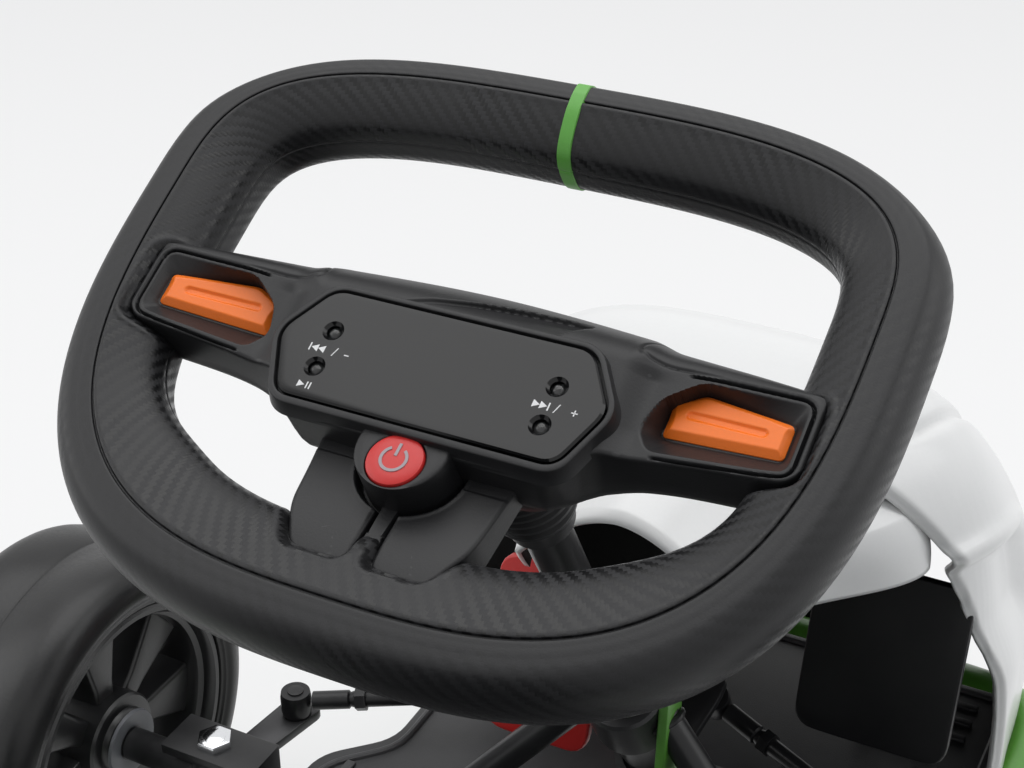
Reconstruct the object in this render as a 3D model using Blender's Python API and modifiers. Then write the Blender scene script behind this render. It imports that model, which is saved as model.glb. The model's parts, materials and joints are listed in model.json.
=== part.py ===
"""Kids electric drift go-kart: every piece at its real size, in metres, front towards -Y, standing on Z = 0."""

import math

import bmesh
import bpy
from mathutils import Matrix, Vector

# Clearances
GAP = 0.0003
RUN_GAP = 0.0008
# Length of a drill or cutter that has to pass right through
THROUGH = 0.100

# Stance of the kart
WHEELBASE = 0.660
FRONT_AXLE_Y = -0.240
TYRE_OUTER_X = 0.352

# Wheels
FRONT_TYRE_RADIUS = 0.105
FRONT_TYRE_WIDTH = 0.085
REAR_TYRE_RADIUS = 0.115
REAR_TYRE_WIDTH = 0.100
TYRE_WALL = 0.026
TYRE_SHOULDER = 0.012
RIM_WALL = 0.006
RIM_LIP = 0.005
RIM_DISH = 0.012
SPOKE_COUNT = 7
SPOKE_WIDTH = 0.017
SPOKE_TIP_WIDTH = 0.012
SPOKE_THICKNESS = 0.012
HUB_RADIUS = 0.025
FRONT_STUB_RADIUS = 0.006
REAR_AXLE_RADIUS = 0.0075
NUT_RADIUS = 0.0105
NUT_LENGTH = 0.010
WHEEL_STEPS = 24

# Frame
TUBE_RADIUS = 0.014
RAIL_Z = 0.082
RAIL_REAR_X = 0.150
RAIL_WAIST_X = 0.118
RAIL_FRONT_X = 0.158
RAIL_REAR_Y = 0.470
RAIL_FRONT_Y = -0.520
WAIST_REAR_Y = -0.130
WAIST_FRONT_Y = -0.370
REAR_TAPER = 0.070
FRONT_TAPER = 0.060
BEND_RADIUS = 0.045
SEAT_TUBE_FRONT_Y = 0.050
SEAT_TUBE_REAR_Y = 0.250
HOOP_X = 0.290
HOOP_FRONT_Y = 0.000
HOOP_REAR_Y = 0.262
HOOP_RADIUS = 0.012
SUPPORT_RADIUS = 0.009
HANGER_THICKNESS = 0.006
HANGER_LENGTH = 0.044
HANGER_EDGE = 0.012
YOKE_PLATE = 0.006
YOKE_LENGTH = 0.028
YOKE_WIDTH = 0.050

# Steering geometry
STEER_Y = -0.120
STEER_Z = 0.480
STEER_TILT = math.radians(30.4)
COLUMN_RADIUS = 0.014
COLUMN_TOP = 0.052
COLUMN_FOOT_LIFT = 0.0074
BEARING_PLACE = 0.320
BEARING_LENGTH = 0.034
BEARING_WALL = 0.007
PITMAN_REACH = 0.045
PITMAN_SPREAD = 0.012
PITMAN_TIP_RADIUS = 0.011
PITMAN_THICKNESS = 0.005
KINGPIN_X = 0.215
KINGPIN_RADIUS = 0.005
KNUCKLE_RADIUS = 0.013
KNUCKLE_HEIGHT = 0.032
ARM_REACH = 0.058
ARM_INSET = 0.012
ARM_THICKNESS = 0.006
ARM_LIFT = 0.001
ARM_TIP_RADIUS = 0.010
ARM_ROOT = 0.004
TIE_ROD_RADIUS = 0.0065
TIE_EYE_RADIUS = 0.0085
TIE_EYE_HEIGHT = 0.015
TIE_EYE_CLEARANCE = 0.0012

# Steering wheel
GRIP_HALF_WIDTH = 0.1305
GRIP_WIDEST_Y = 0.0365
GRIP_TOP = 0.0617
GRIP_BOTTOM = 0.1348
GRIP_TOP_POWER = 3.10
GRIP_BOTTOM_POWER = 2.85
GRIP_SECTION_WIDTH = 0.0350
GRIP_SECTION_DEPTH = 0.0355
GRIP_Z = -0.0175
GRIP_STEPS = 44
GRIP_SIDES = 10
BAND_WIDTH = 0.0065
BAND_PROUD = 0.0006
BAND_DEPTH = 0.0020
FACE_HALF_WIDTH = 0.1245
FACE_TOP_Z = -0.0045
FACE_BASE_Z = -0.0280
BEZEL_TOP_Z = 0.0010
BEZEL_MARGIN = 0.0035
FACE_CENTRE_TOP = 0.0130
FACE_END_TOP = 0.0100
FACE_END_BOTTOM = -0.0240
FACE_CENTRE_BOTTOM = -0.0405
FACE_CENTRE_HALF = 0.0660
BACK_TOP = 0.0275
BACK_SHOULDER_X = 0.0600
BACK_SHOULDER_Y = 0.0255
BACK_END_X = 0.1080
BACK_END_Y = 0.0140
BACK_FRONT_Z = -0.0120
# A button's pocket, in the plane of its sloping floor and about its own middle
POCKET_X = 0.0970
POCKET_Y = -0.0040
POCKET_FLOOR_Z = -0.0177
POCKET_SLOPE = math.radians(14.5)
POCKET_HALF_LENGTH = 0.0245
POCKET_HALF_HEIGHT = 0.0125
POCKET_POINT = 0.0080
POCKET_ROOM = 0.0400
BUTTON_HALF_LENGTH = 0.0195
BUTTON_INNER_TOP = 0.0098
BUTTON_INNER_BOTTOM = -0.0060
BUTTON_OUTER_TOP = 0.0040
BUTTON_OUTER_BOTTOM = -0.0078
BUTTON_POINT = 0.0090
BUTTON_EASE = 0.0012
BUTTON_HEIGHT = 0.0050
BUTTON_TRAVEL = 0.0015
BUTTON_STEM_RADIUS = 0.0040
DISPLAY_HALF_WIDTH = 0.0590
DISPLAY_TOP_HALF = 0.0460
DISPLAY_BOTTOM_HALF = 0.0500
DISPLAY_TOP = 0.0055
DISPLAY_MIDDLE = -0.0140
DISPLAY_BOTTOM = -0.0360
DISPLAY_THICKNESS = 0.0060
DISPLAY_PROUD = 0.0010
PLUNGER_RADIUS = 0.0032
PLUNGER_TRAVEL = 0.0010
PLUNGER_X = 0.0416
PLUNGER_UPPER_Y = -0.0100
PLUNGER_LOWER_Y = -0.0245
PLUNGER_SINK = 0.0008
POWER_Y = -0.0487
POWER_Z = -0.0025
POWER_LEAN = math.radians(13)
POWER_RADIUS = 0.0098
POWER_HEIGHT = 0.0080
POWER_TRAVEL = 0.0015
POWER_PROUD = 0.0015
COLLAR_RADIUS = 0.0170
COLLAR_RISE = 0.0060
COLLAR_DEPTH = 0.0225
FOOT_BOTTOM = -0.0850
FOOT_INNER_X = 0.0030
FOOT_TOP_X = 0.0380
FOOT_BOTTOM_X = 0.0340
FOOT_THICKNESS = 0.0160
FOOT_Z = -0.0085
FOOT_SLANT = 0.0100
FOOT_CORNER = 0.0040
HUB_HALF_WIDTH = 0.0560
HUB_TOP = 0.0340
HUB_BOTTOM = -0.0380
HUB_DEPTH = 0.0160
BOSS_RADIUS = 0.0300
BOSS_LENGTH = 0.0180
SHROUD_TOP_RADIUS = 0.0270
SHROUD_BOTTOM_RADIUS = 0.0330
SHROUD_LENGTH = 0.0850
SHROUD_WALL = 0.0030
RIM_SCREW_RADIUS = 0.0060
RIM_SCREW_LENGTH = 0.0060
BOARD_THICKNESS = 0.0016
BOARD_MARGIN = 0.0040

# Deck and body panels
DECK_TOP = 0.1000
DECK_THICKNESS = 0.0035
DECK_FRONT_X = 0.1500
DECK_FLARE_X = 0.1800
DECK_FRONT_Y = -0.5000
DECK_NARROW_Y = -0.3130
DECK_WIDE_Y = -0.2830
DECK_REAR_Y = 0.0250
DECK_SLOT_X = 0.0300
DECK_SLOT_FRONT = -0.3720
DECK_SLOT_REAR = -0.2940
COWL_REAR_Y = -0.2700
COWL_SIDE_REAR_Y = -0.4200
COWL_CREST_Y = -0.4000
COWL_FRONT_Y = -0.5695
COWL_BASE_Z = 0.1005
COWL_WALL = 0.0035
COWL_POWER = 3.2
COWL_ROWS = 12
COWL_COLUMNS = 14
# Cowl stations: place along the kart, half width and height of the top
COWL_STATIONS = [
    (COWL_FRONT_Y, 0.120, 0.170),
    (-0.545, 0.137, 0.216),
    (-0.515, 0.147, 0.262),
    (-0.460, 0.152, 0.318),
    (COWL_CREST_Y, 0.152, 0.350),
    (-0.335, 0.118, 0.348),
    (COWL_REAR_Y, 0.084, 0.336),
]
BUMPER_DEPTH = 0.0300
BUMPER_HEIGHT = 0.0360

# Pedals
BRAKE_X = 0.0580
BRAKE_WIDTH = 0.0580
BRAKE_PAD_Y = -0.3130
BRAKE_PIVOT_Y = -0.4150
BRAKE_TOP = 0.2400
BRAKE_LOW = 0.1450
DRIVE_X = -0.0935
DRIVE_WIDTH = 0.0800
DRIVE_PAD_Y = -0.3910
DRIVE_PIVOT_Y = -0.4400
DRIVE_TOP = 0.2350
DRIVE_LOW = 0.1400
PAD_THICKNESS = 0.0080
PAD_LEAN = math.radians(13)
PAD_CORNER = 0.0100
PIVOT_Z = 0.1220
PIVOT_RADIUS = 0.0080
PIVOT_PIN_RADIUS = 0.0035
ARM_WIDTH = 0.0120
ARM_BAR = 0.0100
BRACKET_THICKNESS = 0.0040

# Seat
SEAT_WALL = 0.0050
SEAT_FOOT_Y = 0.1300
SEAT_FOOT_LENGTH = 0.1600
SEAT_FOOT_TOP = 0.1405
# Seat stations: share of the profile, then y, z, half width, rise and forward sweep of the sides
SEAT_STATIONS = [
    (0.00, -0.005, 0.148, 0.145, 0.020, 0.000),
    (0.06, 0.015, 0.156, 0.150, 0.030, 0.000),
    (0.18, 0.085, 0.140, 0.155, 0.055, 0.000),
    (0.34, 0.180, 0.132, 0.158, 0.080, 0.010),
    (0.46, 0.245, 0.146, 0.158, 0.085, 0.035),
    (0.54, 0.278, 0.185, 0.156, 0.070, 0.060),
    (0.66, 0.303, 0.265, 0.154, 0.030, 0.075),
    (0.80, 0.330, 0.375, 0.150, 0.005, 0.075),
    (0.92, 0.362, 0.490, 0.130, -0.010, 0.055),
    (1.00, 0.385, 0.575, 0.085, -0.020, 0.020),
]
SLIDE_RAIL_X = 0.0900
SLIDE_RAIL_WIDTH = 0.0200
SLIDE_RAIL_HEIGHT = 0.0120
SLIDE_RAIL_LENGTH = 0.2600
SLIDE_RAIL_FRONT = 0.0300
SLIDE_RAIL_TOP = 0.1080

# Drive and battery
BOX_REAR_Y = 0.5150
BOX_FRONT_Y = 0.3900
BOX_HALF = 0.1200
BOX_CLEARANCE = 0.0075
BOX_HEIGHT = 0.1000
BOX_WALL = 0.0030
CELL_HEIGHT = 0.0850
LID_HEIGHT = 0.0180
GEARBOX_LENGTH = 0.1240
GEARBOX_REACH = 0.0440
GEARBOX_HEIGHT = 0.0740
GEARBOX_WIDTH = 0.0340
GEARBOX_WALL = 0.0025
MOTOR_RADIUS = 0.0180
MOTOR_LENGTH = 0.0560
MOTOR_OFFSET = 0.0540
MOTOR_RISE = 0.0210
SLEEVE_RADIUS = 0.0140
DRIVE_GEAR_RADIUS = 0.0290
DRIVE_GEAR_WIDTH = 0.0120
DRIVE_GEAR_TEETH = 20
SWITCH_WIDTH = 0.0160
SWITCH_LENGTH = 0.0240
SWITCH_THICKNESS = 0.0060
ROCKER_RISE = 0.0033
ROCKER_DROP = 0.0054
ROCKER_PIN_RADIUS = 0.0015
ROCKER_PIN_REACH = 0.0040
CONSOLE_X = 0.2300
CONSOLE_Y = 0.0150
CONSOLE_WIDTH = 0.0500
CONSOLE_LENGTH = 0.0600
CONSOLE_HEIGHT = 0.0340
REAR_BUMPER_Y = 0.5570
REAR_BUMPER_Z = 0.1500
REAR_BUMPER_RADIUS = 0.0130

REAR_AXLE_Y = FRONT_AXLE_Y + WHEELBASE
COLUMN_LENGTH = (STEER_Z - DECK_TOP - COLUMN_FOOT_LIFT) / math.cos(STEER_TILT)
BOX_FLOOR_Z = REAR_TYRE_RADIUS + REAR_AXLE_RADIUS + BOX_CLEARANCE
SIDES = ((1, "left"), (-1, "right"))


def fresh_collections():
    """Clears the scene and makes one collection for the kart and one for its cutters."""
    for obj in list(bpy.data.objects):
        bpy.data.objects.remove(obj, do_unlink=True)
    made = []
    for name in ("kids_electric_drift_go_kart", "cutters"):
        group = bpy.data.collections.new(name)
        bpy.context.scene.collection.children.link(group)
        made.append(group)
    return made


PARTS, CUTTERS = fresh_collections()


def material(name, colour, roughness, metallic=0.0):
    """A plain Principled material."""
    made = bpy.data.materials.new(name)
    made.use_nodes = True
    shader = made.node_tree.nodes["Principled BSDF"]
    shader.inputs["Base Color"].default_value = (*colour, 1.0)
    shader.inputs["Roughness"].default_value = roughness
    shader.inputs["Metallic"].default_value = metallic
    return made


BLACK_PLASTIC = material("black_plastic", (0.012, 0.012, 0.013), 0.55)
CARBON_GRIP = material("carbon_grip", (0.016, 0.016, 0.017), 0.48)
GLOSS_BLACK = material("gloss_black", (0.006, 0.006, 0.007), 0.08)
ORANGE_PLASTIC = material("orange_plastic", (0.90, 0.20, 0.02), 0.42)
RED_PLASTIC = material("red_plastic", (0.62, 0.02, 0.02), 0.40)
GREEN_PAINT = material("green_paint", (0.10, 0.36, 0.04), 0.35)
WHITE_PLASTIC = material("white_plastic", (0.80, 0.80, 0.79), 0.35)
DARK_DECK = material("dark_deck", (0.030, 0.031, 0.034), 0.60)
SLICK_TYRE = material("slick_tyre", (0.010, 0.010, 0.010), 0.35)
BRIGHT_STEEL = material("bright_steel", (0.55, 0.56, 0.58), 0.30, 1.0)
CLEAR_PLASTIC = material("clear_plastic", (0.30, 0.30, 0.31), 0.10)
BOARD_GREEN = material("board_green", (0.02, 0.12, 0.05), 0.50)


def place(name, obj, finish=None, parent=None, cutter=False):
    """Names an object, links it to its collection and gives it its material."""
    obj.name = name
    (CUTTERS if cutter else PARTS).objects.link(obj)
    if cutter:
        obj.hide_render = True
        obj.display_type = "WIRE"
    if finish:
        obj.data.materials.clear()
        obj.data.materials.append(finish)
        obj.data.shade_smooth()
        obj.data.set_sharp_from_angle(angle=math.radians(35))
    if parent:
        obj.parent = parent
    return obj


def from_bmesh(bm, name):
    bmesh.ops.recalc_face_normals(bm, faces=bm.faces)
    mesh = bpy.data.meshes.new(name)
    bm.to_mesh(mesh)
    bm.free()
    return bpy.data.objects.new(name, mesh)


def empty(name, location, rotation=(0, 0, 0), parent=None):
    """A frame of reference; a moving piece's empty sits on its joint's axis."""
    obj = bpy.data.objects.new(name, None)
    PARTS.objects.link(obj)
    obj.location = location
    obj.rotation_euler = rotation
    obj.parent = parent
    return obj


def block(name, size, centre, bevel=0.0):
    """A box with its corners eased by bevel."""
    bm = bmesh.new()
    bmesh.ops.create_cube(bm, size=1.0)
    bmesh.ops.scale(bm, vec=size, verts=bm.verts)
    if bevel:
        bmesh.ops.bevel(bm, geom=bm.edges[:], offset=bevel, segments=1, profile=0.5, affect="EDGES")
    bmesh.ops.translate(bm, vec=centre, verts=bm.verts)
    return from_bmesh(bm, name)


AXES = {
    "X": Matrix.Rotation(math.pi / 2, 4, "Y"),
    "Y": Matrix.Rotation(-math.pi / 2, 4, "X"),
    "Z": Matrix.Identity(4),
}


def rod(name, radius, length, centre, axis="Z", steps=20, end_radius=None):
    """A cylinder or cone about one of the axes, with its middle at centre."""
    bm = bmesh.new()
    bmesh.ops.create_cone(
        bm, cap_ends=True, segments=steps, radius1=radius, radius2=end_radius or radius, depth=length
    )
    bmesh.ops.transform(bm, matrix=AXES[axis], verts=bm.verts)
    bmesh.ops.translate(bm, vec=centre, verts=bm.verts)
    return from_bmesh(bm, name)


def turned(name, profile, steps=WHEEL_STEPS):
    """A closed (radius, height) profile turned about Z by a Screw modifier."""
    bm = bmesh.new()
    points = [bm.verts.new((radius, 0, height)) for radius, height in profile]
    for here, there in zip(points, points[1:] + points[:1]):
        bm.edges.new((here, there))
    mesh = bpy.data.meshes.new(name)
    bm.to_mesh(mesh)
    bm.free()
    obj = bpy.data.objects.new(name, mesh)
    screw = obj.modifiers.new("turn", "SCREW")
    screw.steps = screw.render_steps = steps
    screw.use_merge_vertices = True
    screw.merge_threshold = 0.00001
    return obj


def flat(name, outline, thickness, holes=()):
    """A 2D outline, with any holes, extruded about its own plane."""
    curve = bpy.data.curves.new(name, "CURVE")
    curve.dimensions = "2D"
    curve.fill_mode = "BOTH"
    curve.extrude = thickness / 2
    for ring in (outline, *holes):
        spline = curve.splines.new("POLY")
        spline.points.add(len(ring) - 1)
        for point, (x, y) in zip(spline.points, ring):
            point.co = (x, y, 0, 1)
        spline.use_cyclic_u = True
    return as_mesh(bpy.data.objects.new(name, curve))


def tube(name, points, radius, resolution=3):
    """A round tube along a list of points."""
    curve = bpy.data.curves.new(name, "CURVE")
    curve.dimensions = "3D"
    curve.bevel_depth = radius
    curve.bevel_resolution = resolution
    curve.use_fill_caps = True
    spline = curve.splines.new("POLY")
    spline.points.add(len(points) - 1)
    for point, co in zip(spline.points, points):
        point.co = (*co, 1)
    return as_mesh(bpy.data.objects.new(name, curve))


def as_mesh(obj):
    """Turns a curve object into a closed mesh object."""
    bpy.context.scene.collection.objects.link(obj)
    graph = bpy.context.evaluated_depsgraph_get()
    mesh = bpy.data.meshes.new_from_object(obj.evaluated_get(graph))
    name = obj.name
    bpy.data.objects.remove(obj, do_unlink=True)
    bm = bmesh.new()
    bm.from_mesh(mesh)
    bmesh.ops.remove_doubles(bm, verts=bm.verts, dist=0.00002)
    bmesh.ops.recalc_face_normals(bm, faces=bm.faces)
    bm.to_mesh(mesh)
    bm.free()
    return bpy.data.objects.new(name, mesh)


def moved(obj, location=(0, 0, 0), rotation=(0, 0, 0)):
    obj.location = location
    obj.rotation_euler = rotation
    return obj


def boolean(obj, operation, *others):
    """Adds or cuts other shapes, which go with the cutters and share the object's parent."""
    for other in others:
        name = f"{obj.name}_{operation.lower()}_{len(obj.modifiers)}"
        place(name, other, cutter=True, parent=obj.parent)
        modifier = obj.modifiers.new(name, "BOOLEAN")
        modifier.operation = operation
        modifier.object = other
    return obj


def rounded(points, bend, steps=3, closed=False):
    """The same route with each corner replaced by an arc of the bend radius."""
    route = []
    count = len(points)
    for index, point in enumerate(points):
        here = Vector(point)
        if not closed and index in (0, count - 1):
            route.append(here)
            continue
        before = (Vector(points[index - 1]) - here)
        after = (Vector(points[(index + 1) % count]) - here)
        turn = math.pi - before.angle(after)
        if turn < 0.02:
            route.append(here)
            continue
        reach = min(bend * math.tan(turn / 2), 0.49 * before.length, 0.49 * after.length)
        radius = reach / math.tan(turn / 2)
        towards = (before.normalized() + after.normalized()).normalized()
        centre = here + towards * (radius / math.cos(turn / 2))
        start = here + before.normalized() * reach - centre
        end = here + after.normalized() * reach - centre
        for step in range(steps + 1):
            route.append(centre + start.normalized().slerp(end.normalized(), step / steps) * radius)
    return route


def flat_rounded(points, corner, steps=2):
    """A closed flat outline with eased corners."""
    return [(p.x, p.y) for p in rounded([(x, y, 0) for x, y in points], corner, steps, closed=True)]


def mirrored(half):
    """A closed outline from its +X half, listed from top to bottom."""
    return list(half) + [(-x, y) for x, y in reversed(half)]


def frame_tubes():
    """The welded steel frame: one tube bent into both rails and the front, with its cross tubes and brackets."""
    half = [
        (RAIL_REAR_X, RAIL_REAR_Y, RAIL_Z),
        (RAIL_REAR_X, WAIST_REAR_Y + REAR_TAPER, RAIL_Z),
        (RAIL_WAIST_X, WAIST_REAR_Y, RAIL_Z),
        (RAIL_WAIST_X, WAIST_FRONT_Y, RAIL_Z),
        (RAIL_FRONT_X, WAIST_FRONT_Y - FRONT_TAPER, RAIL_Z),
        (RAIL_FRONT_X, RAIL_FRONT_Y, RAIL_Z),
    ]
    route = rounded(half + [(-x, y, z) for x, y, z in reversed(half)], BEND_RADIUS)
    frame = place("chassis_frame", tube("chassis_frame", route, TUBE_RADIUS), GREEN_PAINT)
    cross_radius = TUBE_RADIUS - 0.001
    for y in (SEAT_TUBE_FRONT_Y, SEAT_TUBE_REAR_Y, RAIL_REAR_Y - TUBE_RADIUS):
        boolean(frame, "UNION", rod("cross", cross_radius, 2 * RAIL_REAR_X, (0, y, RAIL_Z), "X", 12))
    beam_half = KINGPIN_X - YOKE_WIDTH / 2 - YOKE_PLATE / 2
    boolean(frame, "UNION", rod("beam", cross_radius, 2 * beam_half, (0, FRONT_AXLE_Y, RAIL_Z), "X", 12))
    for side, _ in SIDES:
        hoop = [
            (side * (RAIL_REAR_X - 0.005), HOOP_FRONT_Y, RAIL_Z),
            (side * HOOP_X, HOOP_FRONT_Y, RAIL_Z),
            (side * HOOP_X, HOOP_REAR_Y, RAIL_Z),
            (side * (RAIL_REAR_X - 0.005), HOOP_REAR_Y, RAIL_Z),
        ]
        boolean(frame, "UNION", tube("hoop", rounded(hoop, BEND_RADIUS), HOOP_RADIUS, 2))
        boolean(frame, "UNION", yoke(side))
        pin_place = (side * KINGPIN_X, FRONT_AXLE_Y, FRONT_TYRE_RADIUS)
        boolean(frame, "DIFFERENCE", rod("kingpin_hole", KINGPIN_RADIUS + GAP, THROUGH, pin_place, "Z", 14))
        boolean(frame, "UNION", hanger(side))
        axle_place = (side * RAIL_REAR_X, REAR_AXLE_Y, REAR_TYRE_RADIUS)
        axle_hole = rod("axle_hole", REAR_AXLE_RADIUS + GAP, THROUGH, axle_place, "X", 16)
        boolean(frame, "DIFFERENCE", axle_hole)
        boolean(frame, "UNION", tube("leg", support_leg(side), SUPPORT_RADIUS, 2))
    bearing = column_point(BEARING_PLACE)
    housing = rod("housing", COLUMN_RADIUS + BEARING_WALL, BEARING_LENGTH, (0, 0, 0), "Z", 20)
    boolean(frame, "UNION", moved(housing, bearing, (-STEER_TILT, 0, 0)))
    bore = rod("bore", COLUMN_RADIUS + RUN_GAP, BEARING_LENGTH * 3, (0, 0, 0), "Z", 20)
    boolean(frame, "DIFFERENCE", moved(bore, bearing, (-STEER_TILT, 0, 0)))
    return frame


def yoke(side):
    """The C bracket at the beam's end that holds one kingpin, as a mesh already in place."""
    low = FRONT_TYRE_RADIUS - KNUCKLE_HEIGHT / 2 - GAP - YOKE_PLATE
    high = FRONT_TYRE_RADIUS + KNUCKLE_HEIGHT / 2 + GAP
    inner = KINGPIN_X - YOKE_WIDTH / 2 - YOKE_PLATE
    bm = bmesh.new()
    outline = [
        (inner, RAIL_Z - TUBE_RADIUS),
        (inner, high + YOKE_PLATE),
        (KINGPIN_X + YOKE_WIDTH / 2, high + YOKE_PLATE),
        (KINGPIN_X + YOKE_WIDTH / 2, high),
        (inner + YOKE_PLATE, high),
        (inner + YOKE_PLATE, low + YOKE_PLATE),
        (KINGPIN_X + YOKE_WIDTH / 2, low + YOKE_PLATE),
        (KINGPIN_X + YOKE_WIDTH / 2, low),
        (inner + YOKE_PLATE, RAIL_Z - TUBE_RADIUS),
    ]
    ring = [bm.verts.new((side * x, FRONT_AXLE_Y - YOKE_LENGTH / 2, z)) for x, z in outline]
    face = bm.faces.new(ring)
    swept = bmesh.ops.extrude_face_region(bm, geom=[face])
    verts = [item for item in swept["geom"] if isinstance(item, bmesh.types.BMVert)]
    bmesh.ops.translate(bm, vec=(0, YOKE_LENGTH, 0), verts=verts)
    return from_bmesh(bm, "yoke")


def hanger(side):
    """The plate on a rail that the rear axle passes through."""
    top = REAR_TYRE_RADIUS + REAR_AXLE_RADIUS + HANGER_EDGE
    centre = (side * RAIL_REAR_X, REAR_AXLE_Y, (RAIL_Z + top) / 2)
    return block("hanger", (HANGER_THICKNESS, HANGER_LENGTH, top - RAIL_Z), centre, HANGER_THICKNESS / 3)


def column_point(along):
    """A point on the steering column's axis, this far below the steering wheel's middle."""
    return Vector((0, STEER_Y - math.sin(STEER_TILT) * along, STEER_Z - math.cos(STEER_TILT) * along))


def wheel(name, side, axle_y, radius, width, axle_radius):
    """One wheel on its axle: a seven-spoked rim, its slick tyre and the nut that holds it."""
    outer = TYRE_OUTER_X
    rotation = (0, side * math.pi / 2, 0)
    centre = (side * (outer - width / 2), axle_y, radius)
    axis = empty(f"{name}_axis", centre, rotation)
    rim_radius = radius - TYRE_WALL
    half = width / 2
    tyre_profile = [
        (rim_radius + GAP, half - RIM_LIP - 2 * GAP),
        (radius - TYRE_SHOULDER, half),
        (radius - 0.003, half - TYRE_SHOULDER * 0.6),
        (radius, half - TYRE_SHOULDER * 1.6),
        (radius, -half + TYRE_SHOULDER * 1.6),
        (radius - 0.003, -half + TYRE_SHOULDER * 0.6),
        (radius - TYRE_SHOULDER, -half),
        (rim_radius + GAP, -half + RIM_LIP + 2 * GAP),
    ]
    place(f"{name}_tyre", turned(f"{name}_tyre", tyre_profile), SLICK_TYRE, axis)
    barrel = [
        (rim_radius, half - RIM_LIP),
        (rim_radius, -half + RIM_LIP),
        (rim_radius - RIM_WALL, -half + RIM_LIP),
        (rim_radius - RIM_WALL, half - RIM_LIP),
    ]
    rim = place(f"{name}_rim", turned(f"{name}_rim", barrel), BLACK_PLASTIC, axis)
    face_z = half - RIM_LIP - RIM_DISH
    hub_low = -half + RIM_LIP
    hub = rod("hub", HUB_RADIUS, face_z - hub_low, (0, 0, (face_z + hub_low) / 2), "Z", 20)
    boolean(rim, "UNION", hub)
    reach = rim_radius - RIM_WALL / 2
    start = HUB_RADIUS * 0.7
    for index in range(SPOKE_COUNT):
        outline = [
            (start, SPOKE_WIDTH / 2),
            (reach, SPOKE_TIP_WIDTH / 2),
            (reach, -SPOKE_TIP_WIDTH / 2),
            (start, -SPOKE_WIDTH / 2),
        ]
        spoke = flat("spoke", outline, SPOKE_THICKNESS)
        turn = (0, 0, 2 * math.pi * (index + 0.5) / SPOKE_COUNT)
        boolean(rim, "UNION", moved(spoke, (0, 0, face_z - SPOKE_THICKNESS / 2 - 0.001), turn))
    bore = rod("bore", axle_radius + GAP, width * 2, (0, 0, 0), "Z", 16)
    boolean(rim, "DIFFERENCE", bore)
    nut_z = face_z + NUT_LENGTH / 2 + GAP
    nut = place(f"{name}_axle_nut", rod("nut", NUT_RADIUS, NUT_LENGTH, (0, 0, nut_z), "Z", 6), BRIGHT_STEEL, axis)
    socket_length = 2 * (nut_z - NUT_LENGTH / 2) + NUT_LENGTH * 1.2
    boolean(nut, "DIFFERENCE", rod("socket", axle_radius + GAP, socket_length, (0, 0, 0), "Z", 16))
    return face_z


def front_corner(side, label):
    """Kingpin, steering knuckle with its stub axle, wheel and tie rod of one front corner."""
    pin_axis = empty(f"kingpin_axis_{label}", (side * KINGPIN_X, FRONT_AXLE_Y, FRONT_TYRE_RADIUS))
    face_z = wheel(
        f"front_wheel_{label}", side, FRONT_AXLE_Y, FRONT_TYRE_RADIUS, FRONT_TYRE_WIDTH, FRONT_STUB_RADIUS
    )
    knuckle = rod("knuckle", KNUCKLE_RADIUS, KNUCKLE_HEIGHT, (0, 0, 0), "Z", 16)
    knuckle = place(f"steering_knuckle_{label}", knuckle, BRIGHT_STEEL, pin_axis)
    stub_end = TYRE_OUTER_X - FRONT_TYRE_WIDTH / 2 + face_z + NUT_LENGTH * 0.6
    stub_length = stub_end - KINGPIN_X
    root = KNUCKLE_RADIUS * 0.6
    stub = rod("stub", FRONT_STUB_RADIUS, stub_length - root, (side * (stub_length + root) / 2, 0, 0), "X", 16)
    shoulder_end = TYRE_OUTER_X - FRONT_TYRE_WIDTH + RIM_LIP - RUN_GAP
    shoulder_length = shoulder_end - KINGPIN_X
    shoulder_at = (side * (shoulder_length + root * 1.1) / 2, 0, 0)
    shoulder = rod("shoulder", FRONT_STUB_RADIUS * 1.5, shoulder_length - root * 1.1, shoulder_at, "X", 16)
    arm_outline = flat_rounded(
        [
            (side * ARM_TIP_RADIUS * 0.6, ARM_ROOT),
            (side * (ARM_TIP_RADIUS - ARM_INSET), -ARM_REACH - ARM_TIP_RADIUS),
            (side * (-ARM_TIP_RADIUS - ARM_INSET), -ARM_REACH - ARM_TIP_RADIUS),
            (side * -ARM_TIP_RADIUS, ARM_ROOT),
        ],
        ARM_TIP_RADIUS * 0.6,
    )
    arm = moved(flat("arm", arm_outline, ARM_THICKNESS), (0, 0, ARM_LIFT))
    boolean(knuckle, "UNION", stub, shoulder, arm)
    boolean(knuckle, "DIFFERENCE", rod("pin_hole", KINGPIN_RADIUS + GAP, THROUGH, (0, 0, 0), "Z", 16))
    pin_length = KNUCKLE_HEIGHT + 2 * (GAP + YOKE_PLATE) + 0.006
    pin = place(
        f"kingpin_{label}", rod("pin", KINGPIN_RADIUS, pin_length, (0, 0, 0), "Z", 14), BRIGHT_STEEL, pin_axis
    )
    boolean(pin, "UNION", rod("head", KINGPIN_RADIUS * 1.7, 0.004, (0, 0, pin_length / 2), "Z", 6))
    tie_rod(side, label)


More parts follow.
